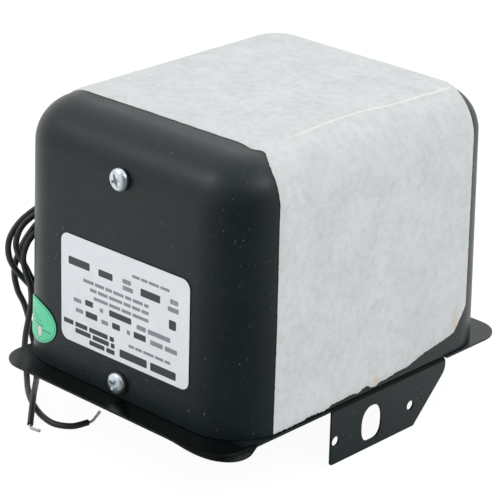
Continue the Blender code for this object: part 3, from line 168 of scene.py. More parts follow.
# Route points of the two leads after the grommet, over one loop and down to the table
LEAD_ROUTES = {
    "a": (
        (-0.0698, -0.0119, 0.0509), (-0.0730, -0.0137, 0.0514), (-0.0752, -0.0180, 0.0523),
        (-0.0762, -0.0245, 0.0533), (-0.0765, -0.0320, 0.0540), (-0.0765, -0.0420, 0.0543),
        (-0.0760, -0.0530, 0.0527), (-0.0760, -0.0620, 0.0492), (-0.0760, -0.0676, 0.0437),
        (-0.0760, -0.0686, 0.0372), (-0.0760, -0.0662, 0.0307), (-0.0760, -0.0612, 0.0240),
        (-0.0760, -0.0545, 0.0167), (-0.0755, -0.0465, 0.0117), (-0.0755, -0.0380, 0.0117),
        (-0.0765, -0.0310, 0.0172), (-0.0780, -0.0285, 0.0257), (-0.0790, -0.0315, 0.0352),
        (-0.0795, -0.0385, 0.0427), (-0.0795, -0.0470, 0.0449), (-0.0792, -0.0545, 0.0407),
        (-0.0790, -0.0602, 0.0342), (-0.0790, -0.0630, 0.0267), (-0.0790, -0.0615, 0.0177),
        (-0.0790, -0.0580, 0.0102), (-0.0787, -0.0560, 0.0032), (-0.0778, -0.0550, -0.0043),
        (-0.0760, -0.0547, -0.0118), (-0.0732, -0.0565, -0.0178), (-0.0690, -0.0604, -0.0208),
        (-0.0638, -0.0656, -0.0203), (-0.0566, -0.0728, -0.0190), (-0.0498, -0.0797, -0.0201),
        (-0.0417, -0.0880, -0.0226),
    ),
    "b": (
        (-0.0696, -0.0169, 0.0507), (-0.0716, -0.0190, 0.0510), (-0.0725, -0.0223, 0.0515),
        (-0.0730, -0.0290, 0.0523), (-0.0730, -0.0380, 0.0530), (-0.0730, -0.0485, 0.0530),
        (-0.0730, -0.0580, 0.0512), (-0.0730, -0.0642, 0.0479), (-0.0730, -0.0669, 0.0422),
        (-0.0730, -0.0656, 0.0362), (-0.0730, -0.0620, 0.0300), (-0.0730, -0.0570, 0.0209),
        (-0.0725, -0.0500, 0.0144), (-0.0720, -0.0415, 0.0139), (-0.0710, -0.0355, 0.0197),
        (-0.0700, -0.0345, 0.0287), (-0.0695, -0.0382, 0.0375), (-0.0695, -0.0460, 0.0444),
        (-0.0697, -0.0550, 0.0462), (-0.0700, -0.0620, 0.0432), (-0.0700, -0.0657, 0.0367),
        (-0.0700, -0.0645, 0.0292), (-0.0707, -0.0615, 0.0217), (-0.0720, -0.0600, 0.0137),
        (-0.0735, -0.0603, 0.0057), (-0.0750, -0.0608, -0.0023), (-0.0765, -0.0603, -0.0103),
        (-0.0769, -0.0596, -0.0148), (-0.0756, -0.0602, -0.0193), (-0.0725, -0.0626, -0.0219),
        (-0.0683, -0.0660, -0.0226), (-0.0618, -0.0707, -0.0226), (-0.0530, -0.0758, -0.0226),
        (-0.0435, -0.0796, -0.0226), (-0.0350, -0.0806, -0.0226), (-0.0286, -0.0768, -0.0226),
        (-0.0266, -0.0698, -0.0226),
    ),
}

# Route points of the bare ends, from the insulation to the tips
TIP_ROUTES = {
    "a": (
        (-0.0414, -0.0883, -0.0227), (-0.0399, -0.0893, -0.0229), (-0.0382, -0.0892, -0.0231),
        (-0.0354, -0.0882, -0.0232),
    ),
    "b": (
        (-0.0266, -0.0693, -0.0228), (-0.0271, -0.0670, -0.0231), (-0.0290, -0.0632, -0.0232),
        (-0.0312, -0.0590, -0.0232),
    ),
}

# Twist of a bare end: steps between route points, turns, where it opens and by how much
STRAND_STEPS = 9
STRAND_TURNS = 1.6
STRAND_OPEN_FROM = 0.7
STRAND_OPENING = 0.30

# Paper sheet, as in the part's source
SHEET_BACK_ROOM = 0.0195
SHEET_BACK = CAN_DEPTH / 2 - SHEET_BACK_ROOM
SHEET_LEFT_DROP = 0.0060

# Scene's own measures of the sheet: gap at its edges, how far from them it has lifted, its faces
# across and over the back shoulder, and the fray of its sides with its waves a metre
SHEET_EDGE_GAP = 0.00004
SHEET_EASE = 0.0022
SHEET_COLUMNS = 140
SHEET_OVER_COLUMNS = 14
SHEET_FRAY = 0.00018
SHEET_FRAY_WAVES = 700

# Fine noise of the torn edge: waves a metre, row of the noise and height; and its least height
TEAR_NOISE = ((900, 3.1, 0.00040), (2600, 8.2, 0.00032))
TEAR_LEAST = 0.0002

# The sheet's front edge on the can's top: place along X, and distance from the can's front
SHEET_FRONT_TOP = (
    (-0.0450, 0.0262), (-0.0380, 0.0262), (-0.0110, 0.0271), (0.0160, 0.0273), (0.0280, 0.0276),
    (0.0350, 0.0278), (0.0360, 0.0280), (0.0380, 0.0276), (0.0400, 0.0271), (0.0424, 0.0264),
    (0.0449, 0.0260),
)

# The sheet's front edge on the right: distance from the can's front, by the way down, which is
# 0 at the top, 1 at the shoulder's foot and 2 at the sheet's own foot
SHEET_FRONT_ROOM = (
    (0.0, 0.0260), (0.037, 0.0263), (0.071, 0.0271), (0.122, 0.0280), (0.175, 0.0279),
    (0.25, 0.0263), (0.375, 0.0244), (0.5, 0.0233),
    (0.75, 0.0224), (1.0, 0.0219), (1.5, 0.0214), (2.0, 0.0203),
)
SHEET_FRONT_FOOT = SHEET_FRONT_ROOM[-1][1] - CAN_DEPTH / 2

# Crease on the sheet's top: place along Y and along X
SHEET_CREASE = (
    (-0.0447, 0.0472), (-0.0377, 0.0473), (-0.0295, 0.0469), (-0.0188, 0.0463), (-0.0088, 0.0455),
    (-0.0008, 0.0456), (0.0080, 0.0460), (0.0150, 0.0470), (0.0228, 0.0483), (0.0340, 0.0490),
    (0.0425, 0.0493), (0.0494, 0.0500), (0.0618, 0.0482),
)

# Range in millimetres along X that the crease's curve spans
CREASE_LEAST = 43.0
CREASE_REACH = 8.0

# Relief of the crease in metres: height, spread to each side, and run over which it rises
CREASE_HEIGHT = 0.00030
CREASE_SPREAD = 0.0007
CREASE_RUN = 0.006

# Tan stains and pale rims on the sheet's right side by its torn edge: tint, middle and reach, in
# millimetres
SHEET_STAINS = (
    ("stain", (64, 51.0, 16.0), (6, 2.2, 7.0)), ("stain", (64, 1.6, 4.6), (6, 2.8, 3.6)),
    ("crease", (64, 57.4, 18.6), (6, 1.5, 2.6)), ("crease", (64, 55.6, 15.6), (6, 1.5, 2.6)),
    ("crease", (64, 53.8, 12.6), (6, 1.5, 2.6)),
)

# Rows of the sheet's mesh: part, first and last share of it, and steps
SHEET_STEPS = (
    ("left", 1.0, 0.0, 6), ("left_arc", 1.0, 0.0, 22), ("top", 0.0, 0.94, 44), ("top", 0.94, 1.0, 24),
    ("right_arc", 0.0, 0.2, 20), ("right_arc", 0.2, 1.0, 22), ("right", 0.0, 1.0, 76),
)

# How far the sheet reaches past its back edge, over the can's back shoulder, by the way down
SHEET_OVER_BACK = (
    (0.0, 0.0105), (0.125, 0.0070), (0.2, 0.0062), (0.34, 0.0034), (0.47, 0.0020),
    (0.6, 0.0012), (0.77, 0.0005), (1.0, 0.0),
)

# Torn lower edge of the sheet on the right face: share of its width from the front, and height
# above the can's rim
SHEET_TORN_EDGE = (
    (0.0000, 0.0005), (0.1039, 0.0004), (0.1472, 0.0006), (0.1628, 0.0011), (0.2199, 0.0008),
    (0.2519, 0.0005), (0.2831, 0.0017), (0.3264, 0.0018), (0.3905, 0.0022), (0.4234, 0.0014),
    (0.4450, 0.0024), (0.4719, 0.0029), (0.4840, 0.0015), (0.5117, 0.0010), (0.5385, 0.0020),
    (0.5671, 0.0020), (0.6338, 0.0030), (0.6805, 0.0030), (0.7835, 0.0061), (0.8537, 0.0072),
    (0.9342, 0.0089), (1.0000, 0.0193),
)

# Print of the rating label as plain blocks: left, right and middle as shares of the label from its
# upper left corner, height in millimetres, and whether the ink is heavy
LABEL_BLOCKS = (
    (0.060, 0.230, 0.240, 3.3, True), (0.300, 0.412, 0.249, 2.9, True), (0.490, 0.555, 0.235, 1.9, False),
    (0.492, 0.572, 0.296, 1.9, False), (0.630, 0.780, 0.272, 3.2, True), (0.855, 0.915, 0.245, 2.0, False),
    (0.838, 0.920, 0.316, 2.0, False), (0.565, 0.850, 0.157, 1.2, False), (0.178, 0.693, 0.377, 1.4, False),
    (0.233, 0.693, 0.442, 1.4, False), (0.262, 0.693, 0.510, 1.4, False), (0.100, 0.163, 0.592, 1.7, False),
    (0.194, 0.257, 0.578, 2.4, True), (0.312, 0.338, 0.594, 1.8, False), (0.386, 0.560, 0.583, 2.6, True),
    (0.602, 0.860, 0.604, 2.0, False), (0.118, 0.178, 0.682, 1.7, False), (0.198, 0.292, 0.684, 2.6, True),
    (0.325, 0.378, 0.694, 1.8, False), (0.410, 0.472, 0.687, 2.5, True), (0.525, 0.552, 0.692, 1.8, False),
    (0.580, 0.673, 0.687, 2.6, True), (0.708, 0.912, 0.693, 2.0, False), (0.020, 0.425, 0.820, 2.0, True),
    (0.114, 0.430, 0.879, 2.0, True), (0.228, 0.430, 0.940, 2.0, True), (0.540, 0.862, 0.812, 1.2, False),
    (0.470, 0.905, 0.915, 3.4, True), (0.848, 0.902, 0.456, 3.9, True),
)

# Depth of the films, soft edge of the label's, and how far print lies in and stands on a film
FILM_DEPTH = 0.00015
FILM_SOFT = 0.00004
INK_DEPTH = 0.00002

# Words in a row of print, as shares of its height: least row that is cut, lengths, shortest last
# word and gap
WORD_ROW_LEAST = 6
WORD_LENGTHS = (2.4, 6.0)
WORD_LAST = 1.6
WORD_GAP = 0.55

# Oval sticker: its steps, insets of its fine outline, lift of its rim, and the small oval's middle
# along the face and in height, with the half sizes of its rim and its face
OVAL_STEPS = 96
OVAL_LINE = (0.0009, 0.0007)
OVAL_LIFT = 0.0009
SMALL_OVAL = (-0.0054, 0.0144)
SMALL_OVAL_RIM = (0.0019, 0.0027)
SMALL_OVAL_FACE = (0.00165, 0.00245)

# Rows of small marks on the oval sticker: place along the face, height, length, in millimetres;
# then their half height, widths and gaps
STICKER_MARKS = (
    (-11.2, 22.0, 3.0), (-9.3, 20.6, 5.6), (-7.8, 19.0, 7.2), (-6.4, 17.4, 6.8), (-1.4, 15.6, 5.6),
)
MARK_HALF_HEIGHT = 0.32
MARK_WIDTHS = (0.35, 0.8)
MARK_GAPS = (0.25, 0.4)

# Bushings and their terminals
BUSHING_SPACING = 0.0520
BUSHING_OFFSET = -0.0140
BUSHING_RADIUS = 0.0100
BUSHING_FLANGE = 0.0140
BUSHING_FLANGE_HEIGHT = 0.0040
BUSHING_DROP = 0.0160
BUSHING_GROOVE = 0.0016
GASKET_THICKNESS = 0.0015
STUD_RADIUS = 0.0020
STUD_DEPTH = 0.0040
TERMINAL_RADIUS = 0.0042
TERMINAL_DROP = 0.0240
TERMINAL_CORE = 0.0004

# The photograph's camera: place and axes
CAMERA_PLACE = (0.60431, -0.64969, 0.41358)
CAMERA_RIGHT = (0.7235692, 0.68989153, 0.02230011)
CAMERA_UP = (-0.28162927, 0.2655732, 0.92203895)
CAMERA_BACK = (0.63018455, -0.67343935, 0.38645423)

# Direction of the dark side behind the camera, where it begins and is full, as cosines, and the
# share of it that matte surfaces find
DARK_SIDE = (0.742, -0.669, 0.020)
DARK_REACH = (0.42, 1.02)
MATTE_DARK_SHARE = 0.10

# Floor: half its side, drop below the part, cuts, middle of its dark side, own light and the share
# of its tint left under that light
FLOOR_HALF = 6
FLOOR_DROP = 0.00005
FLOOR_CUTS = 6
FLOOR_MIDDLE = (-0.06, 0.02, 0)
FLOOR_GLOW = 0.95
FLOOR_DIM = 0.12

# Lamps: name, place, side and power in watts; then the point that they face
LAMPS = (
    ("right", (0.84, 0.18, 1.00), 0.45, 3.1), ("left", (-0.60, -0.84, 0.96), 0.50, 3.0),
    ("back", (-0.3, 0.9, 1.2), 1.2, 3.0),
)
LAMP_AIM = (0, 0, 0.05)


def colour(red, green, blue):
    """Linear colour of an sRGB colour given as 0 to 255."""
    def linear(value):
        share = value / 255
        return share / 12.92 if share <= 0.04045 else ((share + 0.055) / 1.055) ** 2.4
    return (linear(red), linear(green), linear(blue), 1.0)


def scaled(tint, share, lift=0.0):
    """A linear colour made darker or lighter by a share, and raised."""
    return tuple(min(1.0, value * share + lift) for value in tint[:3]) + (1.0,)


def tint_property(name, description, shade):
    """A colour that a user would change, given as sRGB 0 to 255."""
    return FloatVectorProperty(name=name, description=description, default=colour(*shade), size=4,
                               subtype="COLOR", min=0.0, max=1.0)


class PaintSettings(bpy.types.PropertyGroup):
    """The satin paint of the can and the plate."""

    tint: tint_property("Paint", "Colour of the satin paint", (17, 28, 30))
    dust: tint_property("Dust", "Colour of the dust and lint on the paint", (150, 158, 160))
    dust_share: FloatProperty(name="Dust share", description="Share of the places that hold a speck",
                              default=0.42, min=0.0, max=1.0, subtype="FACTOR")
    roughness: FloatProperty(name="Roughness", description="Roughness of clean paint",
                             default=0.34, min=0.0, max=1.0, subtype="FACTOR")
    corner_steps: IntProperty(name="Corner steps", description="Faces round each corner of the can",
                              default=18, min=6, max=48)


class ScrewSettings(bpy.types.PropertyGroup):
    """The pan-head screws."""

    tint: tint_property("Zinc", "Colour of the zinc plate", (224, 231, 234))
    recess_span: FloatProperty(name="Recess", description="Span of the cross recess", default=0.0054,
                               min=0.002, max=0.008, subtype="DISTANCE")
    recess_depth: FloatProperty(name="Recess depth", description="Depth of the cross recess",
                                default=0.0017, min=0.0005, max=0.003, subtype="DISTANCE")


class LabelSettings(bpy.types.PropertyGroup):
    """The rating label on the front."""

    width: FloatProperty(name="Width", description="Width of the label", default=0.0719,
                         min=0.03, max=0.09, subtype="DISTANCE")
    height: FloatProperty(name="Height", description="Height of the label", default=0.0458,
                          min=0.02, max=0.08, subtype="DISTANCE")
    corner: FloatProperty(name="Corner", description="Radius of the corners", default=0.0040,
                          min=0.0, max=0.01, subtype="DISTANCE")
    offset: FloatProperty(name="Offset", description="Middle of the label along X", default=0.0028,
                          subtype="DISTANCE")
    level: FloatProperty(name="Level", description="Height of the label's middle", default=0.0399,
                         subtype="DISTANCE")
    tilt: FloatProperty(name="Tilt", description="Turn of the label on the face",
                        default=math.radians(0.5), subtype="ANGLE")
    film: tint_property("Film", "Colour of the film", (234, 239, 244))
    heavy_ink: tint_property("Heavy ink", "Colour of the heavy print", (52, 55, 60))
    light_ink: tint_property("Light ink", "Colour of the fine print", (135, 140, 146))


class StickerSettings(bpy.types.PropertyGroup):
    """The oval sticker round the front left corner."""

    length: FloatProperty(name="Length", description="Length of the oval", default=0.0272,
                          min=0.01, max=0.05, subtype="DISTANCE")
    height: FloatProperty(name="Height", description="Height of the oval", default=0.0184,
                          min=0.01, max=0.05, subtype="DISTANCE")
    place: FloatProperty(name="Place", description="Middle of the oval from where the corner begins",
                         default=-0.0087, subtype="DISTANCE")
    level: FloatProperty(name="Level", description="Height of the oval's middle", default=0.0184,
                         subtype="DISTANCE")
    film: tint_property("Film", "Colour of the film", (98, 220, 168))
    ink: tint_property("Ink", "Colour of the small marks", (52, 128, 98))


class SheetSettings(bpy.types.PropertyGroup):
    """The fibrous paper sheet over the top and the right side."""

    tint: tint_property("Paper", "Colour of the clean paper", (220, 223, 224))
    fibre: tint_property("Fibre", "Colour of the thin places between the fibres", (186, 193, 193))
    stain: tint_property("Stain", "Colour of the tan stains by the torn edge", (208, 200, 184))
    # The crease colour gives the painted highlight along the crease and the pale rims of the stains
    crease: tint_property("Crease", "Colour of the worn crease on the top", (243, 244, 240))
    thickness: FloatProperty(name="Thickness", description="Thickness of the paper", default=0.00025,
                             min=0.0001, max=0.001, precision=5, subtype="DISTANCE")
    wrinkle: FloatProperty(name="Wrinkle", description="How far the paper lifts off the can",
                           default=0.00032, min=0.0, max=0.002, precision=5, subtype="DISTANCE")


class LeadSettings(bpy.types.PropertyGroup):
    """The two leads with their bare ends."""

    diameter: FloatProperty(name="Diameter", description="Diameter over the insulation",
                            default=0.0026, min=0.001, max=0.006, precision=4, subtype="DISTANCE")
    conductor: FloatProperty(name="Conductor", description="Diameter of the bare end",
                             default=0.0013, min=0.0005, max=0.003, precision=4, subtype="DISTANCE")
    tint: tint_property("Insulation", "Colour of the insulation", (40, 43, 45))
    tin: tint_property("Tin", "Colour of the tinned strands", (214, 214, 210))


class BushingSettings(bpy.types.PropertyGroup):
    """The porcelain bushings under the plate."""

    glaze: tint_property("Glaze", "Colour of the porcelain", (236, 233, 224))
    brass: tint_property("Brass", "Colour of the terminals", (196, 160, 84))
    steps: IntProperty(name="Steps", description="Faces round each turned piece", default=64, min=24, max=128)


class StageSettings(bpy.types.PropertyGroup):
    """Camera, floor and lamps."""

    lens: FloatProperty(name="Lens", description="Focal length on a 36 mm sensor, in millimetres",
                        default=168.36, min=20, max=400)
    floor: tint_property("Floor", "Colour of the floor", (236, 236, 236))
    sky: FloatProperty(name="Sky", description="Strength of the world's light", default=0.76, min=0, max=2)
    dark_side: FloatProperty(name="Dark side", description="How much less comes from behind the camera",
                             default=0.95, min=0.0, max=1.0, subtype="FACTOR")
    key: FloatProperty(name="Key", description="Strength of the lamps", default=1.0,
                       min=0, max=50)


def settings(name):
    """The scene's settings of one group of pieces."""
    return getattr(bpy.context.scene, f"transformer_{name}")


# Placing nodes in a material or a group


class Graph:
    """A short way to place nodes in a tree and join them."""

    def __init__(self, tree):
        self.tree = tree

    def feed(self, socket, value):
        """Join an output to an input socket, or set the socket's own value."""
        if isinstance(value, bpy.types.NodeSocket):
            self.tree.links.new(value, socket)
        else:
            socket.default_value = value

    def node(self, kind, inputs=None, **options):
        """A node with its options set and its inputs fed, by name or number."""
        made = self.tree.nodes.new(kind)
        for key, value in options.items():
            setattr(made, key, value)
        for key, value in (inputs or {}).items():
            self.feed(made.inputs[key], value)
        return made

    def math(self, operation, first, second=0.0, third=0.0):
        """One step of arithmetic on two or three values."""
        made = self.node("ShaderNodeMath", {0: first, 1: second, 2: third}, operation=operation)
        return made.outputs[0]

    def vector(self, operation, first, second=(0, 0, 0)):
        """One step of arithmetic on two vectors."""
        made = self.node("ShaderNodeVectorMath", {0: first, 1: second}, operation=operation)
        return made.outputs[0]

    def dot(self, first, second):
        """How far one vector runs along another."""
        made = self.node("ShaderNodeVectorMath", {0: first, 1: second}, operation="DOT_PRODUCT")
        return made.outputs["Value"]

    def blend(self, share, first, second):
        """A colour between two colours."""
        made = self.node("ShaderNodeMix", {0: share, 6: first, 7: second}, data_type="RGBA")
        return made.outputs[2]

    def lay(self, mask, share, under, over):
        """A colour laid over another where a mask is set, as far as a share."""
        return self.blend(self.math("MULTIPLY", mask, share), under, over)

    def span(self, value, low, high, first=0.0, last=1.0):
        """A value moved from one range to another with soft ends."""
        inputs = {"Value": value, "From Min": low, "From Max": high, "To Min": first, "To Max": last}
        made = self.node("ShaderNodeMapRange", inputs, interpolation_type="SMOOTHSTEP", clamp=True)
        return made.outputs[0]

    def millimetres(self):
        """The point on the piece, in millimetres."""
        place = self.node("ShaderNodeTexCoord").outputs["Object"]
        return self.vector("MULTIPLY", place, (1000, 1000, 1000))


def shared_group(name, inputs, outputs, fill):
    """A node group with named inputs and outputs, built once."""
    found = bpy.data.node_groups.get(name)
    if found:
        return found
    group = bpy.data.node_groups.new(name, "ShaderNodeTree")
    for label, kind, value in inputs:
        socket = group.interface.new_socket(name=label, in_out="INPUT", socket_type=kind)
        socket.default_value = value
    for label, kind in outputs:
        group.interface.new_socket(name=label, in_out="OUTPUT", socket_type=kind)
    graph = Graph(group)
    source = graph.node("NodeGroupInput").outputs
    target = graph.node("NodeGroupOutput").inputs
    fill(graph, source, target)
    return group


NUMBER = "NodeSocketFloat"
DIRECTION = "NodeSocketVector"


def use(graph, group, **values):
    """Place a shared group in a tree, and hand back its first output."""
    made = graph.node("ShaderNodeGroup", node_tree=group)
    for label, value in values.items():
        graph.feed(made.inputs[label.replace("_", " ").capitalize()], value)
    return made.outputs[0]


def mottle_group():
    """Soft blotches of a size in millimetres, drawn out along one direction by a stretch."""
    def fill(graph, source, target):
        cell = graph.vector("MULTIPLY", source["Stretch"], source["Size"])
        place = graph.vector("ADD", graph.millimetres(), source["Shift"])
        place = graph.vector("DIVIDE", place, cell)
        cloud = graph.node("ShaderNodeTexNoise", {"Vector": place, "Scale": 1.0, "Detail": source["Detail"],
                                                  "Roughness": 0.58})
        graph.feed(target["Value"], cloud.outputs[0])
    inputs = [("Size", NUMBER, 10.0), ("Stretch", DIRECTION, (1, 1, 1)), ("Shift", DIRECTION, (0, 0, 0)),
              ("Detail", NUMBER, 3.0)]
    return shared_group("mottle", inputs, [("Value", NUMBER)], fill)


def specks_group():
    """Round specks scattered at a spacing, in millimetres, in a share of the places."""
    def fill(graph, source, target):
        place = graph.vector("ADD", graph.millimetres(), source["Shift"])
        place = graph.vector("DIVIDE", place, source["Spacing"])
        cells = graph.node("ShaderNodeTexVoronoi", {"Vector": place, "Scale": 1.0, "Randomness": 1.0})
        parts = graph.node("ShaderNodeSeparateColor", {0: cells.outputs["Color"]}).outputs
        reach = graph.math("DIVIDE", source["Size"], source["Spacing"])
        reach = graph.math("MULTIPLY", reach, graph.math("MULTIPLY_ADD", parts[0], 0.7, 0.3))
        near = graph.math("DIVIDE", cells.outputs["Distance"], reach)
        chosen = graph.math("LESS_THAN", parts[1], source["Share"])
        strong = graph.math("MULTIPLY_ADD", parts[2], 0.6, 0.4)
        mask = graph.math("MULTIPLY", graph.span(near, 0.55, 1.0, 1.0, 0.0), chosen)
        graph.feed(target["Mask"], graph.math("MULTIPLY", mask, strong))
    inputs = [("Spacing", NUMBER, 3.0), ("Size", NUMBER, 0.3), ("Share", NUMBER, 0.3),
              ("Shift", DIRECTION, (0, 0, 0))]
    return shared_group("specks", inputs, [("Mask", NUMBER)], fill)


def scratch_group():
    """Thin broken lines along one direction: their spacing and width in millimetres."""
    def fill(graph, source, target):
        place = graph.vector("ADD", graph.millimetres(), source["Shift"])
        turned = graph.node("ShaderNodeVectorRotate", {"Vector": place, "Angle": source["Turn"],
                                                       "Axis": (0.4, 0.8, 0.45)})
        drawn = graph.vector("DIVIDE", turned.outputs[0], (1.0, 1.0, 9.0))
        lines = graph.node("ShaderNodeTexNoise", {"Vector": graph.vector("DIVIDE", drawn, source["Spacing"]),
                                                  "Scale": 1.0, "Detail": 1.0})
        off = graph.math("ABSOLUTE", graph.math("SUBTRACT", lines.outputs[0], 0.5))
        line = graph.span(off, 0.0, source["Width"], 1.0, 0.0)
        patch = graph.node("ShaderNodeTexNoise", {"Vector": place, "Scale": 0.055, "Detail": 2.0})
        where = graph.span(patch.outputs[0], 0.52, 0.66)
        graph.feed(target["Mask"], graph.math("MULTIPLY", line, where))
    inputs = [("Spacing", NUMBER, 2.5), ("Width", NUMBER, 0.004), ("Turn", NUMBER, 0.6),
              ("Shift", DIRECTION, (0, 0, 0))]
    return shared_group("scratches", inputs, [("Mask", NUMBER)], fill)


def patch_group():
    """A soft-edged round patch about a point in millimetres, with an uneven edge."""
    def fill(graph, source, target):
        place = graph.millimetres()
        away = graph.vector("SUBTRACT", place, source["Centre"])
        away = graph.vector("DIVIDE", away, source["Reach"])
        length = graph.node("ShaderNodeVectorMath", {0: away}, operation="LENGTH").outputs["Value"]
        rough = graph.node("ShaderNodeTexNoise", {"Vector": place, "Scale": 0.35, "Detail": 3.0})
        uneven = graph.math("MULTIPLY_ADD", rough.outputs[0], 0.9, -0.45)
        graph.feed(target["Mask"], graph.span(graph.math("ADD", length, uneven), 0.45, 1.0, 1.0, 0.0))
    inputs = [("Centre", DIRECTION, (0, 0, 0)), ("Reach", DIRECTION, (5, 5, 5))]
    return shared_group("patch", inputs, [("Mask", NUMBER)], fill)


def layers_group():
    """Stacked layers across a direction: a height that dips at each joint, at a pitch in millimetres."""
    def fill(graph, source, target):
        place = graph.millimetres()
        along = graph.dot(place, source["Direction"])
        wobble = graph.node("ShaderNodeTexNoise", {"Vector": place, "Scale": 0.12, "Detail": 2.0})
        along = graph.math("ADD", along, graph.math("MULTIPLY", wobble.outputs[0], source["Wobble"]))
        step = graph.math("FRACT", graph.math("DIVIDE", along, source["Pitch"]))
        edge = graph.math("ABSOLUTE", graph.math("SUBTRACT", step, 0.5))
        graph.feed(target["Height"], graph.span(edge, 0.34, 0.5, 1.0, 0.0))
    inputs = [("Direction", DIRECTION, (0, 0, 1)), ("Pitch", NUMBER, 0.5), ("Wobble", NUMBER, 0.1)]
    return shared_group("layers", inputs, [("Height", NUMBER)], fill)


def upward_group():
    """How much a surface faces up, where dust settles."""
    def fill(graph, source, target):
        facing = graph.node("ShaderNodeNewGeometry").outputs["Normal"]
        level = graph.node("ShaderNodeSeparateXYZ", {0: facing}).outputs["Z"]
        graph.feed(target["Mask"], graph.span(level, source["Start"], 1.0))
    return shared_group("upward", [("Start", NUMBER, 0.2)], [("Mask", NUMBER)], fill)


# Materials


def new_material(name, roughness=0.5, metallic=0.0, **constants):
    """A Principled material: constants are set on the shader's own sockets."""
    made = bpy.data.materials.new(name)
    made.use_nodes = True
    shader = made.node_tree.nodes["Principled BSDF"]
    shader.inputs["Roughness"].default_value = roughness
    shader.inputs["Metallic"].default_value = metallic
    for label, value in constants.items():
        shader.inputs[label.replace("_", " ")].default_value = value
    return made, Graph(made.node_tree), shader.inputs


def bump(graph, sockets, height, depth, strength=1.0):
    """Feed a height of 0 to 1 to the shader's normal as relief of a depth in metres."""
    relief = graph.node("ShaderNodeBump", {"Height": height, "Distance": depth, "Strength": strength})
    graph.feed(sockets["Normal"], relief.outputs[0])


def painted_strip_shade(graph):
    """Painted shadow of the can on the plate's strip before it: how nearly black the strip is."""
    parts = graph.node("ShaderNodeSeparateXYZ", {0: graph.millimetres()}).outputs
    along = graph.span(parts["X"], *SHADED_STRIP_FROM_LEFT)
    before = graph.span(parts["Y"], *SHADED_STRIP_FROM_BACK, 1.0, 0.0)
    return graph.math("MULTIPLY", graph.math("MULTIPLY", along, before), 0.85)


def painted_bend_shade(graph):
    """Painted shade on the upper part of the plate's bends: how nearly black it is."""
    return graph.span(use(graph, upward_group(), start=0.0), 0.20, 0.50, 0.0, 0.9)


def paint_material(name, gloss, settled=0.02, wear=0.0, polish=0.0, fade=0.0, black=None):
    """Satin paint on steel with dust, lint, faint scuffs, a fine orange peel and, where a mask is given,
    painted shade.

    gloss is the specular level, settled the dust on upward faces, wear the share of bare steel,
    polish what comes off the roughness, fade a pale film all over, and black a mask of painted shade.
    """
    look = settings("paint")
    made, graph, sockets = new_material(name, Specular_IOR_Level=gloss)
    cloud = use(graph, mottle_group(), size=26.0, detail=4.0)
    fine = use(graph, mottle_group(), size=2.2, detail=5.0, shift=(31, 7, 90))
    tint = graph.blend(graph.span(cloud, 0.35, 0.75, 0.0, 0.55), tuple(look.tint), scaled(look.tint, 1.35))
    film = graph.math("MULTIPLY", use(graph, upward_group(), start=0.1), settled)
    film = graph.math("ADD", film, graph.span(fine, 0.50, 0.85, fade, fade + 0.03))
    tint = graph.blend(film, tint, tuple(look.dust))
    small = use(graph, specks_group(), spacing=2.0, size=0.28, share=look.dust_share)
    large = use(graph, specks_group(), spacing=7.5, size=0.62, share=look.dust_share * 0.55, shift=(5, 11, 3))
    drift = use(graph, mottle_group(), size=34.0, detail=2.0, shift=(60, 3, 8))
    where = graph.span(drift, 0.38, 0.62, 0.15, 1.0)
    specks = graph.math("MULTIPLY", graph.math("MAXIMUM", small, large), where)
    tint = graph.lay(specks, 0.85, tint, tuple(look.dust))
    lines = use(graph, scratch_group(), spacing=3.2, width=0.006, turn=0.7)
    tint = graph.lay(lines, 0.07, tint, tuple(look.dust))
    if wear:
        worn = graph.span(use(graph, mottle_group(), size=4.0, detail=5.0), 0.42, 0.60, 0.25 * wear, wear)
        tint = graph.blend(worn, tint, colour(112, 114, 116))
    # Painted shade: the paint turns nearly black where the mask is set
    if black:
        tint = graph.blend(black(graph), tint, colour(3, 4, 4))
    graph.feed(sockets["Base Color"], tint)
    dull = graph.math("ADD", graph.math("MULTIPLY", specks, 0.3), graph.span(cloud, 0.3, 0.75, 0.0, 0.08))
    graph.feed(sockets["Roughness"], graph.math("ADD", dull, look.roughness - polish))
    peel = use(graph, mottle_group(), size=0.9, detail=2.0, shift=(3, 3, 3))
    broad = use(graph, mottle_group(), size=30.0, detail=0.0, shift=(8, 14, 2))
    height = graph.math("ADD", graph.math("MULTIPLY", broad, 24.0), peel)
    height = graph.math("ADD", height, graph.math("MULTIPLY", specks, 2.5))
    bump(graph, sockets, height, 0.000016)
    return made


def zinc_material():
    """Bright zinc plate, faintly blue, with turning marks and dulled spots."""
    look = settings("screw")
    made, graph, sockets = new_material("zinc", metallic=1.0)
    cloud = use(graph, mottle_group(), size=1.6, detail=5.0)
    tint = graph.blend(graph.span(cloud, 0.35, 0.7), tuple(look.tint), colour(196, 209, 217))
    spots = use(graph, specks_group(), spacing=0.9, size=0.22, share=0.3)
    tint = graph.lay(spots, 0.5, tint, colour(120, 124, 122))
    graph.feed(sockets["Base Color"], tint)
    fine = use(graph, mottle_group(), size=0.35, detail=3.0, shift=(9, 2, 4))
    graph.feed(sockets["Roughness"], graph.span(fine, 0.25, 0.8, 0.16, 0.42))
    bump(graph, sockets, fine, 0.00003)
    return made


def film_material(name, tint, roughness):
    """Printed film: faint unevenness, a little dust and handling marks."""
    made, graph, sockets = new_material(name, Specular_IOR_Level=0.4)
    cloud = use(graph, mottle_group(), size=9.0, detail=4.0)
    shade = graph.blend(graph.span(cloud, 0.35, 0.75, 0.0, 0.6), tuple(tint), scaled(tint, 0.93))
    specks = use(graph, specks_group(), spacing=3.4, size=0.22, share=0.2)
    shade = graph.lay(specks, 0.35, shade, colour(150, 150, 146))
    graph.feed(sockets["Base Color"], shade)
    graph.feed(sockets["Roughness"], graph.span(cloud, 0.3, 0.8, roughness, roughness + 0.12))
    grain = use(graph, mottle_group(), size=0.7, detail=2.0, shift=(1, 5, 2))
    bump(graph, sockets, grain, 0.000006)
    return made


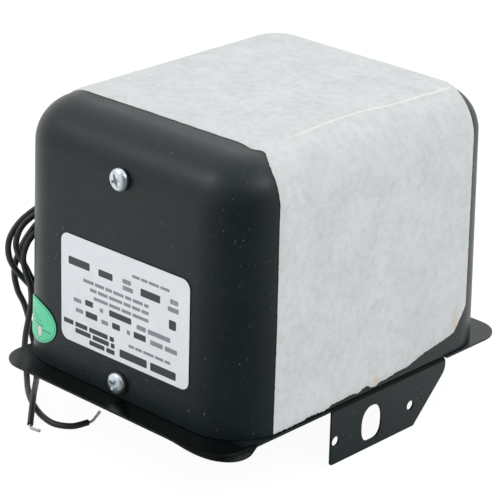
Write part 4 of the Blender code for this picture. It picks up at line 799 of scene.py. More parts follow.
def ink_material(name, tint):
    """Printing ink with small pinholes and an uneven coat."""
    made, graph, sockets = new_material(name)
    cloud = use(graph, mottle_group(), size=1.1, detail=4.0)
    shade = graph.blend(graph.span(cloud, 0.5, 0.8, 0.0, 0.6), tuple(tint), scaled(tint, 2.1, 0.02))
    graph.feed(sockets["Base Color"], shade)
    graph.feed(sockets["Roughness"], graph.span(cloud, 0.3, 0.8, 0.38, 0.55))
    return made


def crease_highlight(graph):
    """A thin line on the sheet's top along the crease, fading at its ends, where a painted highlight goes."""
    parts = graph.node("ShaderNodeSeparateXYZ", {0: graph.millimetres()}).outputs
    low, high = (value * 1000 for value in (SHEET_CREASE[0][0], SHEET_CREASE[-1][0]))
    across = graph.math("DIVIDE", graph.math("SUBTRACT", parts["Y"], low), high - low)
    line = graph.node("ShaderNodeFloatCurve", {"Value": across})
    curve = line.mapping.curves[0]
    places = [((along * 1000 - low) / (high - low), (out * 1000 - CREASE_LEAST) / CREASE_REACH)
              for along, out in SHEET_CREASE]
    curve.points[0].location, curve.points[1].location = places[0], places[-1]
    for place in places[1:-1]:
        curve.points.new(*place)
    line.mapping.update()
    where = graph.math("MULTIPLY_ADD", line.outputs[0], CREASE_REACH, CREASE_LEAST)
    off = graph.math("ABSOLUTE", graph.math("SUBTRACT", parts["X"], where))
    thin = graph.span(off, 0.10, 0.95, 1.0, 0.0)
    fade = graph.math("MULTIPLY", graph.span(across, 0.05, 0.22), graph.span(across, 0.95, 1.0, 1.0, 0.0))
    above = graph.math("GREATER_THAN", parts["Z"], SHOULDER_LEVEL * 1000)
    return graph.math("MULTIPLY", graph.math("MULTIPLY", thin, fade), above)


def paper_material():
    """Fibrous paper: fibres along the top and down the side, grey clouds, a painted highlight along the
    crease with a paler tone of worn fibres, painted shade on the side, and tan stains.
    """
    look = settings("sheet")
    made, graph, sockets = new_material("paper", roughness=0.9, Specular_IOR_Level=0.2)
    on_top = use(graph, upward_group(), start=0.94)
    on_side = graph.math("SUBTRACT", 1.0, use(graph, upward_group(), start=-0.2))
    across = use(graph, mottle_group(), size=0.85, stretch=(4, 1, 1), detail=4.0)
    down = use(graph, mottle_group(), size=0.60, stretch=(1, 1, 1.9), detail=4.0, shift=(9, 30, 2))
    even = use(graph, mottle_group(), size=0.42, detail=4.0, shift=(40, 2, 9))
    blotch = use(graph, mottle_group(), size=3.4, detail=5.0, shift=(4, 70, 4))
    cloud = use(graph, mottle_group(), size=15.0, detail=3.0, shift=(14, 7, 24))
    # The side takes a stronger fibre tint than the top: partly the fibres, partly painted shade that keeps
    # the side darker than the top
    thin = graph.math("MULTIPLY", on_top, graph.span(across, 0.38, 0.76, 0.0, 0.22))
    thin = graph.math("MULTIPLY_ADD", on_side, graph.span(down, 0.42, 0.78, 0.0, 0.38), thin)
    for mask, low, high, weight in (
        (even, 0.48, 0.76, 0.30), (blotch, 0.36, 0.74, 0.32), (cloud, 0.32, 0.68, 0.24),
    ):
        thin = graph.math("ADD", thin, graph.span(mask, low, high, 0.0, weight))
    tint = graph.blend(thin, tuple(look.tint), tuple(look.fibre))
    flecks = use(graph, specks_group(), spacing=4.2, size=0.32, share=0.20)
    tint = graph.lay(flecks, 0.35, tint, colour(160, 163, 162))
    # Painted highlight along the crease's ridge, partly the paler tone of its worn fibres
    tint = graph.lay(crease_highlight(graph), 0.65, tint, tuple(look.crease))
    for shade, centre, reach in SHEET_STAINS:
        stain = use(graph, patch_group(), centre=centre, reach=reach)
        tint = graph.lay(stain, 0.8, tint, tuple(getattr(look, shade)))
    graph.feed(sockets["Base Color"], tint)
    bump(graph, sockets, graph.math("ADD", even, graph.math("MULTIPLY", blotch, 0.5)), 0.00005, 0.6)
    return made


def insulation_material():
    """Semi-matte insulation with dust and faint marks along it."""
    look = settings("lead")
    made, graph, sockets = new_material("insulation", Specular_IOR_Level=0.4)
    cloud = use(graph, mottle_group(), size=5.0, detail=5.0)
    tint = graph.blend(graph.span(cloud, 0.40, 0.75, 0.0, 0.6), tuple(look.tint), scaled(look.tint, 2.2))
    specks = use(graph, specks_group(), spacing=1.9, size=0.22, share=0.35)
    tint = graph.lay(specks, 0.6, tint, colour(140, 142, 140))
    graph.feed(sockets["Base Color"], tint)
    graph.feed(sockets["Roughness"], graph.span(cloud, 0.3, 0.8, 0.40, 0.60))
    fine = use(graph, mottle_group(), size=0.8, detail=3.0, shift=(2, 8, 5))
    bump(graph, sockets, fine, 0.00003)
    return made


def metal_material(name, tint, roughness, grain=0.5, stretch=(1, 1, 1), tarnish=0.35):
    """Bare metal with tarnished clouds and a fine grain drawn along one direction."""
    made, graph, sockets = new_material(name, metallic=1.0)
    cloud = use(graph, mottle_group(), size=7.0, detail=5.0)
    shade = graph.blend(graph.span(cloud, 0.45, 0.8, 0.0, tarnish), tuple(tint), scaled(tint, 0.45))
    graph.feed(sockets["Base Color"], shade)
    lines = use(graph, mottle_group(), size=grain, stretch=stretch, detail=3.0)
    graph.feed(sockets["Roughness"], graph.span(lines, 0.25, 0.8, roughness * 0.7, roughness * 1.4))
    bump(graph, sockets, lines, 0.00002)
    return made


def layered_material(name, tint, seam, direction, pitch, roughness, metallic=0.0):
    """Stacked sheets or wound paper seen on edge, with a dark joint between layers."""
    made, graph, sockets = new_material(name, metallic=metallic)
    height = use(graph, layers_group(), direction=direction, pitch=pitch, wobble=pitch * 0.3)
    cloud = use(graph, mottle_group(), size=6.0, detail=4.0)
    shade = graph.blend(graph.span(cloud, 0.4, 0.75), tuple(tint), scaled(tint, 0.7))
    graph.feed(sockets["Base Color"], graph.blend(height, tuple(seam), shade))
    graph.feed(sockets["Roughness"], graph.span(cloud, 0.3, 0.8, roughness, min(1.0, roughness + 0.2)))
    bump(graph, sockets, height, 0.00008)
    return made


def soft_material(name, tint, roughness, grain=1.0, depth=0.00003, flecks=(140, 140, 136)):
    """Rubber, pitch or board: an uneven tint, dust and a grain."""
    made, graph, sockets = new_material(name)
    cloud = use(graph, mottle_group(), size=8.0, detail=5.0)
    shade = graph.blend(graph.span(cloud, 0.4, 0.8), tuple(tint), scaled(tint, 1.6, 0.01))
    specks = use(graph, specks_group(), spacing=2.4, size=0.3, share=0.3)
    shade = graph.lay(specks, 0.4, shade, colour(*flecks))
    graph.feed(sockets["Base Color"], shade)
    graph.feed(sockets["Roughness"], graph.span(cloud, 0.3, 0.8, roughness, min(1.0, roughness + 0.15)))
    bump(graph, sockets, use(graph, mottle_group(), size=grain, detail=4.0, shift=(6, 1, 3)), depth)
    return made


def glaze_material():
    """Porcelain glaze: clear and glossy, with pinholes and faint grey clouds."""
    look = settings("bushing")
    made, graph, sockets = new_material("glaze", Coat_Weight=0.6, Coat_Roughness=0.05)
    cloud = use(graph, mottle_group(), size=6.0, detail=4.0)
    shade = graph.blend(graph.span(cloud, 0.4, 0.8), tuple(look.glaze), scaled(look.glaze, 0.86))
    pins = use(graph, specks_group(), spacing=3.0, size=0.25, share=0.25)
    graph.feed(sockets["Base Color"], graph.lay(pins, 0.7, shade, colour(120, 108, 92)))
    graph.feed(sockets["Roughness"], graph.span(cloud, 0.3, 0.8, 0.10, 0.22))
    bump(graph, sockets, cloud, 0.00006)
    return made


# Meshes


def smooth(data, degrees):
    """Shade a mesh smooth where its faces meet at less than an angle."""
    data.shade_smooth()
    data.set_sharp_from_angle(angle=math.radians(degrees))


def mesh_from(name, shape):
    """Turn a bmesh into a mesh, smooth but for its sharp edges."""
    bmesh.ops.recalc_face_normals(shape, faces=shape.faces)
    data = bpy.data.meshes.new(name)
    shape.to_mesh(data)
    shape.free()
    smooth(data, 35)
    return data


def add_object(name, data, *materials):
    """Put a mesh or curve in the scene with its materials."""
    item = bpy.data.objects.new(name, data)
    bpy.context.scene.collection.objects.link(item)
    for material in materials:
        data.materials.append(material)
    return item


def declare(piece, slot, *nodes):
    """A piece rides with the part and stands for CAD nodes, which it hides; slot is not used."""
    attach(piece, "root")
    if nodes:
        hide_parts(*nodes)
    return piece


def loft(rings, close_bottom=True, join_ends=False):
    """Skin rings of equally many points, from the bottom ring to the top one."""
    shape = bmesh.new()
    loops = [[shape.verts.new(point) for point in ring] for ring in rings]
    pairs = list(zip(loops, loops[1:]))
    if join_ends:
        pairs.append((loops[-1], loops[0]))
    for lower, upper in pairs:
        for index in range(len(lower)):
            after = (index + 1) % len(lower)
            shape.faces.new((lower[index], lower[after], upper[after], upper[index]))
    if close_bottom and not join_ends:
        shape.faces.new(reversed(loops[0]))
    if not join_ends:
        shape.faces.new(loops[-1])
    return shape


def lathe(profile, hollow=False, steps=64):
    """Turn (radius, height) points about Z; a hollow profile closes on itself."""
    turns = [2 * math.pi * step / steps for step in range(steps)]
    rings = [[(radius * math.cos(turn), radius * math.sin(turn), height) for turn in turns]
             for radius, height in profile]
    return loft(rings, join_ends=hollow)


def arc(centre, radius, start, end, steps):
    """Points of an arc between two angles in degrees, both ends included."""
    angles = [math.radians(start + (end - start) * step / steps) for step in range(steps + 1)]
    return [(centre[0] + radius * math.cos(angle), centre[1] + radius * math.sin(angle)) for angle in angles]


def rounded_rectangle(half_x, half_y, radius, steps, along=1):
    """Anticlockwise outline of a rectangle with round corners and divided sides."""
    points = []
    for quarter, (side_x, side_y) in enumerate(((1, 1), (-1, 1), (-1, -1), (1, -1))):
        centre = (side_x * (half_x - radius), side_y * (half_y - radius))
        points += arc(centre, radius, 90 * quarter, 90 * quarter + 90, steps)
        after = ((-1, 1), (-1, -1), (1, -1), (1, 1))[quarter]
        start = Vector(points[-1])
        turn = math.radians(90 * quarter + 90)
        end = Vector((after[0] * (half_x - radius) + radius * math.cos(turn),
                      after[1] * (half_y - radius) + radius * math.sin(turn)))
        points += [tuple(start.lerp(end, step / along)) for step in range(1, along)]
    return points


def round_corners(profile, radius, steps=4):
    """A closed profile with each corner rounded, as far as its neighbours leave room."""
    points = []
    count = len(profile)
    for index, point in enumerate(profile):
        here, before, after = Vector(point), Vector(profile[index - 1]), Vector(profile[(index + 1) % count])
        back, ahead = before - here, after - here
        reach = min(radius, back.length * 0.45, ahead.length * 0.45)
        start, end = here + back.normalized() * reach, here + ahead.normalized() * reach
        for step in range(steps + 1):
            t = step / steps
            spot = start * (1 - t) ** 2 + here * 2 * t * (1 - t) + end * t * t
            points.append(tuple(spot))
    return points


def settle(item):
    """Apply an object's modifiers to its mesh."""
    bpy.context.view_layer.update()
    evaluated = item.evaluated_get(bpy.context.evaluated_depsgraph_get())
    data = bpy.data.meshes.new_from_object(evaluated)
    item.modifiers.clear()
    item.data = data
    return item


def cut(target, shapes):
    """Subtract bmeshes, each with its matrix, from an object, and apply the result."""
    cutters = []
    for shape, place in shapes:
        cutter = add_object("cutter", mesh_from("cutter", shape))
        cutter.matrix_world = place
        modifier = target.modifiers.new("cut", "BOOLEAN")
        modifier.operation = "DIFFERENCE"
        modifier.solver = "EXACT"
        modifier.object = cutter
        cutters.append(cutter)
    settle(target)
    for cutter in cutters:
        bpy.data.objects.remove(cutter, do_unlink=True)
    return target


def drilled(radius, start, end):
    """A round cutter along the line between two points, with its matrix."""
    start, end = Vector(start), Vector(end)
    span = end - start
    place = Matrix.Translation(start) @ span.to_track_quat("Z", "Y").to_matrix().to_4x4()
    return lathe([(radius, 0), (radius, span.length)], steps=40), place


def drilled_through_wall(radius, along):
    """A round cutter through the left wall at the leads' height, at a place along Y."""
    wall = can_section(GROMMET_HEIGHT)[0]
    return drilled(radius, (-wall - CUTTER_REACH, along, GROMMET_HEIGHT),
                   (-wall + CUTTER_REACH, along, GROMMET_HEIGHT))


def moved(shape, matrix):
    """Move a bmesh's points by a matrix."""
    bmesh.ops.transform(shape, matrix=matrix, verts=shape.verts)
    return shape


def can_section(level):
    """Half width, half depth and corner radius of the can's outside at a height."""
    lean = (min(level, SHOULDER_LEVEL) - RIM_LEVEL) * math.tan(CAN_DRAFT)
    above = max(0.0, min(level, TOP_LEVEL) - SHOULDER_LEVEL)
    inset = CAN_TOP_RADIUS - math.sqrt(max(0.0, CAN_TOP_RADIUS ** 2 - above ** 2))
    shrink = lean + inset
    return CAN_WIDTH / 2 - shrink, CAN_DEPTH / 2 - shrink, CAN_CORNER - inset


# Leads


def curve_through(name, points, radius, material):
    """A round curve of one open spline, smooth through its points."""
    data = bpy.data.curves.new(name, "CURVE")
    data.dimensions = "3D"
    data.bevel_depth = radius
    data.bevel_resolution = 6
    data.resolution_u = 10
    data.use_fill_caps = True
    spline = data.splines.new("BEZIER")
    knots = [Vector(point) for point in points]
    ends = [2 * knots[0] - knots[1]] + knots + [2 * knots[-1] - knots[-2]]
    spline.bezier_points.add(len(knots) - 1)
    for index, knot in enumerate(knots):
        lean = (ends[index + 2] - ends[index]) / 6
        point = spline.bezier_points[index]
        point.handle_left_type = point.handle_right_type = "FREE"
        point.co = knot
        point.handle_left = knot - lean
        point.handle_right = knot + lean
    return add_object(name, data, material)


def smooth_path(points, steps):
    """Points on one smooth curve through given ones."""
    knots = [Vector(point) for point in points]
    ends = [2 * knots[0] - knots[1]] + knots + [2 * knots[-1] - knots[-2]]
    path = []
    for index in range(len(knots) - 1):
        before, start, end, after = ends[index:index + 4]
        for step in range(steps):
            t = step / steps
            path.append(0.5 * (2 * start + (end - before) * t
                               + (2 * before - 5 * start + 4 * end - after) * t * t
                               + (3 * start - before - 3 * end + after) * t ** 3))
    path.append(knots[-1])
    return path


def tube_rings(path, radii, sides):
    """Rings of a tube along a path, without twist."""
    rings = []
    ahead = (path[1] - path[0]).normalized()
    across = ahead.orthogonal().normalized()
    for index, spot in enumerate(path):
        before, after = path[max(index - 1, 0)], path[min(index + 1, len(path) - 1)]
        ahead = (after - before).normalized()
        across = (across - ahead * across.dot(ahead)).normalized()
        beside = ahead.cross(across)
        ring = []
        for side in range(sides):
            turn = 2 * math.pi * side / sides
            ring.append(spot + radii[index] * (across * math.cos(turn) + beside * math.sin(turn)))
        rings.append(ring)
    return rings


def twisted_strands(name, route, radius, material, floor_level):
    """A bare conductor: one strand in the middle and six twisted round it, a little open at the end."""
    core = smooth_path(route, STRAND_STEPS)
    strand = radius / 3
    ahead = (core[1] - core[0]).normalized()
    across = ahead.orthogonal().normalized()
    frames = []
    for index, spot in enumerate(core):
        before, after = core[max(index - 1, 0)], core[min(index + 1, len(core) - 1)]
        ahead = (after - before).normalized()
        across = (across - ahead * across.dot(ahead)).normalized()
        frames.append((spot, across.copy(), ahead.cross(across)))
    shape = bmesh.new()
    for number in range(7):
        path = []
        for index, (spot, side, beside) in enumerate(frames):
            share = index / (len(frames) - 1)
            if number == 0:
                path.append(spot.copy())
                continue
            turn = 2 * math.pi * (number / 6 + STRAND_TURNS * share)
            opened = max(0.0, share - STRAND_OPEN_FROM) / (1 - STRAND_OPEN_FROM)
            loose = 0.5 + 0.5 * math.sin(number * 2.3)
            away = 2 * strand * (1.0 + STRAND_OPENING * opened * loose)
            point = spot + away * (side * math.cos(turn) + beside * math.sin(turn))
            point.z = max(point.z, floor_level + strand)
            path.append(point)
        radii = [strand] * (len(path) - 1) + [strand * 0.6]
        rings = tube_rings(path, radii, 10)
        part = loft(rings)
        data = bpy.data.meshes.new("strand")
        part.to_mesh(data)
        part.free()
        shape.from_mesh(data)
        bpy.data.meshes.remove(data)
    return add_object(name, mesh_from(name, shape), material)


class TRANSFORMER_OT_leads(bpy.types.Operator):
    """Lay the two leads and their bare ends where the part's solids have them"""

    bl_idname = "transformer.leads"
    bl_label = "Leads"

    def execute(self, context):
        look = settings("lead")
        insulation = insulation_material()
        tin = metal_material("tinned_strands", look.tin, 0.28, grain=0.4, tarnish=0.25)
        wall = can_section(GROMMET_HEIGHT)[0]
        exit_face = wall + TOUCH + GROMMET_FLANGE_THICKNESS + LEAD_STUB
        for hand, sign in (("a", 1), ("b", -1)):
            along = GROMMET_PLACE + sign * LEAD_SPACING / 2
            start = (-wall, along, GROMMET_HEIGHT)
            points = (start, (-exit_face, along, GROMMET_HEIGHT)) + LEAD_ROUTES[hand]
            lead = curve_through(f"flexible_lead_{hand}", points, look.diameter / 2, insulation)
            strands = twisted_strands(f"stranded_end_{hand}", TIP_ROUTES[hand], look.conductor / 2, tin,
                                      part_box("base_plate")[0].z)
            declare(strands, "tinned_copper", f"lead_{hand}_bare_end")
            declare(lead, "lead_insulation", f"lead_{hand}")
        return {"FINISHED"}


# Can and plate


def can_levels():
    """Heights up the can's wall, closer together near the rim, and turns over its shoulder."""
    rise = SHOULDER_LEVEL - RIM_LEVEL
    levels = [(RIM_LEVEL + rise * share, None) for share in CAN_RING_SHARES]
    steps = settings("paint").corner_steps
    return levels + [(None, 90 * step / steps) for step in range(steps + 1)]


def build_case():
    """The drawn can with its wall, screw holes and grommet hole."""
    rings = []
    steps = settings("paint").corner_steps
    for level, turn in can_levels():
        turn = math.radians(turn or 0)
        if level is None:
            level = SHOULDER_LEVEL + CAN_TOP_RADIUS * math.sin(turn)
        inset = CAN_TOP_RADIUS * (1 - math.cos(turn))
        lean = (min(level, SHOULDER_LEVEL) - RIM_LEVEL) * math.tan(CAN_DRAFT)
        outline = rounded_rectangle(CAN_WIDTH / 2 - lean - inset, CAN_DEPTH / 2 - lean - inset,
                                    CAN_CORNER - inset, steps, along=8)
        rings.append([(x, y, level) for x, y in outline])
    material = paint_material("case_paint", 0.31)
    case = add_object("drawn_case", mesh_from("drawn_case", loft(rings, close_bottom=False)), material)
    shell = case.modifiers.new("wall", "SOLIDIFY")
    shell.thickness = CAN_WALL
    shell.offset = -1
    shell.use_even_offset = True
    settle(case)
    reach = CAN_DEPTH / 2 + CUTTER_REACH
    cuts = [drilled(SCREW_HOLE_RADIUS, (SCREW_OFFSET, -reach, level), (SCREW_OFFSET, reach, level))
            for level in (SCREW_UPPER_HEIGHT, SCREW_LOWER_HEIGHT)]
    cuts.append(drilled_through_wall(GROMMET_RADIUS, GROMMET_PLACE))
    cut(case, cuts)
    smooth(case.data, 30)
    return declare(case, "satin_black_paint", "case")


class TRANSFORMER_OT_case(bpy.types.Operator):
    """Build the drawn can with a fine round shoulder and satin paint"""

    bl_idname = "transformer.case"
    bl_label = "Drawn can"

    def execute(self, context):
        build_case()
        return {"FINISHED"}


def hole_outline():
    """The tab's middle hole seen along X: flat sides, a round top and a squarer foot."""
    (y, z), (half_y, half_z) = TAB_HOLE_MIDDLE, TAB_HOLE_HALF
    points = []
    for step in range(TAB_HOLE_STEPS):
        turn = 2 * math.pi * step / TAB_HOLE_STEPS
        across, up = math.cos(turn), math.sin(turn)
        power = 2 / (TAB_HOLE_ROUND if up > 0 else TAB_HOLE_SQUARE)
        points.append((y + half_y * math.copysign(abs(across) ** power, across),
                       z + half_z * math.copysign(abs(up) ** power, up)))
    return points


def close_middle_hole(shape):
    """Fill the solid's plain middle hole in the tab, so that its real outline can be cut."""
    middle = Vector(TAB_HOLE_MIDDLE)
    walls = [face for face in shape.faces
             if abs(face.normal.x) < 0.5 and face.calc_center_median().x > CAN_WIDTH / 2
             and all((Vector(vert.co.yz) - middle).length < TAB_HOLE_CLEAR for vert in face.verts)]
    rims = {edge for face in walls for edge in face.edges
            if any(other not in walls for other in edge.link_faces)}
    bmesh.ops.delete(shape, geom=walls, context="FACES_ONLY")
    bmesh.ops.holes_fill(shape, edges=list(rims), sides=0)


def build_plate():
    """The base plate with rolled edges, from the solid's own shape."""
    source = frame["nodes"]["base_plate"].data
    shape = bmesh.new()
    shape.from_mesh(source)
    bmesh.ops.remove_doubles(shape, verts=shape.verts, dist=1e-6)
    close_middle_hole(shape)
    bmesh.ops.dissolve_limit(shape, angle_limit=math.radians(1.0), verts=shape.verts, edges=shape.edges)
    # The plate's top paint carries a painted shadow of the can on its front strip
    flat = paint_material("plate_paint", 0.26, polish=0.12, black=painted_strip_shade)
    edge = paint_material("plate_edge_paint", 0.30, wear=0.35)
    # The tab's faces along +X take their own paint with a pale film and a weaker gloss, so they look lighter
    # than the plate's top
    worn = paint_material("tab_paint", 0.18, fade=0.04)
    # The bends' paint carries painted shade, nearly black on their upper part
    bend = paint_material("bend_paint", 0.08, settled=0.0, black=painted_bend_shade)
    plate = add_object("folded_plate", mesh_from("folded_plate", shape), flat, edge, worn, bend)
    tab_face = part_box("base_plate")[1].x
    hole = loft([[(x, y, z) for y, z in hole_outline()]
                 for x in (tab_face - TAB_CUTTER_REACH, tab_face + TAB_CUTTER_REACH)])
    cut(plate, [(hole, Matrix.Identity(4))])
    rolled = plate.modifiers.new("edges", "BEVEL")
    rolled.width = PLATE_EDGE_ROUND
    rolled.segments = 2
    rolled.limit_method = "ANGLE"
    rolled.angle_limit = math.radians(50)
    rolled.material = 1
    settle(plate)
    for face in plate.data.polygons:
        if face.normal.x > TAB_FACING and face.center.z < -PLATE_THICKNESS:
            face.material_index = 2
        elif face.material_index != 1 and BEND_FACING[0] < face.normal.z < BEND_FACING[1]:
            face.material_index = 3
    smooth(plate.data, 40)
    even = plate.modifiers.new("normals", "WEIGHTED_NORMAL")
    even.keep_sharp = True
    settle(plate)
    return declare(plate, "satin_black_paint", "base_plate")


class TRANSFORMER_OT_base_plate(bpy.types.Operator):
    """Give the folded plate rolled edges, worn satin paint, and painted shade on its front strip and bends"""

    bl_idname = "transformer.base_plate"
    bl_label = "Base plate"

    def execute(self, context):
        build_plate()
        return {"FINISHED"}


# Screws


def screw_shape():
    """A pan-head screw along Z, its seat at zero, as a mesh with its cross recess cut."""
    look = settings("screw")
    radius, height = SCREW_HEAD_RADIUS, SCREW_HEAD_HEIGHT
    dome = arc((0, 0), 1.0, 8, 86, 10)
    head = [(radius, height * 0.12), (radius, height * 0.34)]
    head += [(radius * x ** 0.55, height * (0.34 + 0.66 * y)) for x, y in dome]
    thread = []
    for turn in range(int(SCREW_LENGTH / SCREW_PITCH) - 1):
        foot = -SCREW_LENGTH + SCREW_PITCH * turn
        thread.append((SCREW_SHANK_RADIUS * 0.84, foot + SCREW_PITCH * 0.25))
        thread.append((SCREW_SHANK_RADIUS, foot + SCREW_PITCH * 0.75))
    profile = [(SCREW_SHANK_RADIUS * 0.7, -SCREW_LENGTH)] + thread
    profile += [(SCREW_SHANK_RADIUS * 0.95, -0.0002), (SCREW_SHANK_RADIUS, 0.0), (radius * 0.97, 0.0)] + head
    screw = add_object("screw_blank", mesh_from("screw_blank", lathe(profile, steps=56)))
    cuts = []
    span, depth = look.recess_span, look.recess_depth
    for turn in (0.0, math.pi / 2):
        wing = []
        for share, half, half_width in RECESS_WINGS:
            outline = rounded_rectangle(span * half, half_width, RECESS_CORNER, 3)
            wing.append([(x, y, height - depth * share) for x, y in outline])
        cuts.append((loft(wing), Matrix.Rotation(turn, 4, "Z")))
    pit = [(0.0004, height - depth * 1.1), (0.00125, height - depth * 0.45), (0.0013, height + 0.001)]
    cuts.append((lathe(pit, steps=24), Matrix.Identity(4)))
    return cut(screw, cuts)


class TRANSFORMER_OT_screws(bpy.types.Operator):
    """Put the four pan-head screws in, with domed heads and cross recesses"""

    bl_idname = "transformer.screws"
    bl_label = "Screws"

    def execute(self, context):
        zinc = zinc_material()
        blank = screw_shape()
        for side, facing in (("front", -1), ("back", 1)):
            for name, level in (("upper", SCREW_UPPER_HEIGHT), ("lower", SCREW_LOWER_HEIGHT)):
                seat = can_section(level - SCREW_HEAD_RADIUS)[1] + TOUCH
                place = Matrix.Translation((SCREW_OFFSET, facing * seat, level))
                place = place @ Matrix.Rotation(0 if facing < 0 else math.pi, 4, "Z")
                place = place @ Matrix.Rotation(math.pi / 2, 4, "X")
                place = place @ Matrix.Rotation(math.radians(SCREW_TURNS[name]), 4, "Z")
                data = blank.data.copy()
                data.transform(place)
                data.materials.clear()
                screw = add_object(f"{side}_{name}_pan_head", data, zinc)
                smooth(data, 38)
                declare(screw, "zinc_plate", f"{side}_{name}_screw")
        bpy.data.objects.remove(blank, do_unlink=True)
        return {"FINISHED"}


# Label and sticker


def flat_prism(outline, bottom, top, soft=0.0):
    """A flat outline raised between two heights, its upper edge drawn in a little."""
    middle = Vector((sum(x for x, y in outline), sum(y for x, y in outline))) / len(outline)
    rings = [[(x, y, bottom) for x, y in outline], [(x, y, top - soft) for x, y in outline]]
    if soft:
        inner = []
        for x, y in outline:
            away = Vector((x, y)) - middle
            inner.append(tuple(middle + away * (1 - soft / away.length)))
        rings.append([(x, y, top) for x, y in inner])
    return loft(rings)


def label_place():
    """Where the label's flat drawing goes on the front face."""
    look = settings("label")
    face = can_section(look.level)[1] + TOUCH
    turn = Matrix.Rotation(math.pi / 2 - CAN_DRAFT, 4, "X") @ Matrix.Rotation(look.tilt, 4, "Z")
    return Matrix.Translation((look.offset, -face, look.level)) @ turn


def word_blocks(low, high, height, rng):
    """Lengths of a row of print cut into words, as pairs of ends."""
    if high - low < height * WORD_ROW_LEAST:
        return [(low, high)]
    words = []
    spot = low
    while spot < high - height:
        end = min(high, spot + height * rng.uniform(*WORD_LENGTHS))
        if high - end < height * WORD_LAST:
            end = high
        words.append((spot, end))
        spot = end + height * WORD_GAP
    return words


def join_shapes(shapes):
    """One bmesh out of several."""
    whole = bmesh.new()
    for shape in shapes:
        data = bpy.data.meshes.new("joined")
        shape.to_mesh(data)
        shape.free()
        whole.from_mesh(data)
        bpy.data.meshes.remove(data)
    return whole


def build_label():
    """The label's film and the two inks of its print, as plain blocks."""
    look = settings("label")
    place = label_place()
    outline = rounded_rectangle(look.width / 2, look.height / 2, look.corner, 14)
    shape = moved(flat_prism(outline, 0.0, FILM_DEPTH, FILM_SOFT), place)
    film = film_material("label_film_white", look.film, 0.34)
    label = add_object("label_film_piece", mesh_from("label_film_piece", shape), film)
    declare(label, "label_film", "rating_label")
    rng = random.Random(7)
    shapes = {True: [], False: []}
    for left, right, middle, height_mm, heavy in LABEL_BLOCKS:
        height = height_mm / 1000
        level = look.height * (0.5 - middle)
        for start, end in word_blocks(left * look.width, right * look.width, height, rng):
            half = (end - start) / 2
            block = rounded_rectangle(half, height / 2, min(half, height / 2) * 0.3, 3)
            centre = (start + half - look.width / 2, level)
            block = [(x + centre[0], y + centre[1]) for x, y in block]
            shapes[heavy].append(flat_prism(block, FILM_DEPTH - INK_DEPTH, FILM_DEPTH + INK_DEPTH))
    for heavy, tint in ((True, look.heavy_ink), (False, look.light_ink)):
        name = "heavy_print" if heavy else "light_print"
        shape = moved(join_shapes(shapes[heavy]), place)
        ink = add_object(f"label_{name}", mesh_from(f"label_{name}", shape), ink_material(name, tint))
        declare(ink, "label_film")


class TRANSFORMER_OT_rating_label(bpy.types.Operator):
    """Lay the rating label with its print as plain blocks"""

    bl_idname = "transformer.rating_label"
    bl_label = "Rating label"

    def execute(self, context):
        build_label()
        return {"FINISHED"}


def wrap_front_left(along, level, offset):
    """Point at a distance along the front face from where its left corner begins, off the can."""
    half_x, half_y, corner = can_section(level)
    start = -half_x + corner
    if along >= 0:
        return Vector((start + along, -half_y - offset, level))
    turn = -along / corner
    reach = corner + offset
    return Vector((start - reach * math.sin(turn), -half_y + corner - reach * math.cos(turn), level))


def oval(centre, half_length, half_height, steps):
    """Points round an oval in the unrolled plane."""
    turns = [2 * math.pi * step / steps for step in range(steps)]
    return [(centre[0] + half_length * math.cos(turn), centre[1] + half_height * math.sin(turn))
            for turn in turns]


def wrapped_film(outline, rings, bottom, top, lift):
    """A film bent round the front left corner: rings from its middle out to its outline.

    lift gives how far a point of the film stands off the can beyond its two depths.
    """
    middle = (sum(x for x, y in outline) / len(outline), sum(y for x, y in outline) / len(outline))
    shape = bmesh.new()
    sides = []
    for offset in (bottom, top):
        rows = []
        for ring in range(1, rings + 1):
            share = ring / rings
            row = []
            for x, y in outline:
                along = middle[0] + (x - middle[0]) * share
                level = middle[1] + (y - middle[1]) * share
                row.append(shape.verts.new(wrap_front_left(along, level, offset + lift(along, level))))
            rows.append(row)
        sides.append((shape.verts.new(wrap_front_left(*middle, offset + lift(*middle))), rows))
    count = len(outline)
    for centre, rows in sides:
        for index in range(count):
            after = (index + 1) % count
            shape.faces.new((centre, rows[0][index], rows[0][after]))
            for inner, outer in zip(rows, rows[1:]):
                shape.faces.new((inner[index], outer[index], outer[after], inner[after]))
    for index in range(count):
        after = (index + 1) % count
        low, high = sides[0][1][-1], sides[1][1][-1]
        shape.faces.new((low[index], low[after], high[after], high[index]))
    return shape


def add_sticker_piece(name, shape, material, *nodes):
    """A film or print of the sticker, declared."""
    return declare(add_object(name, mesh_from(name, shape), material), "sticker_green", *nodes)


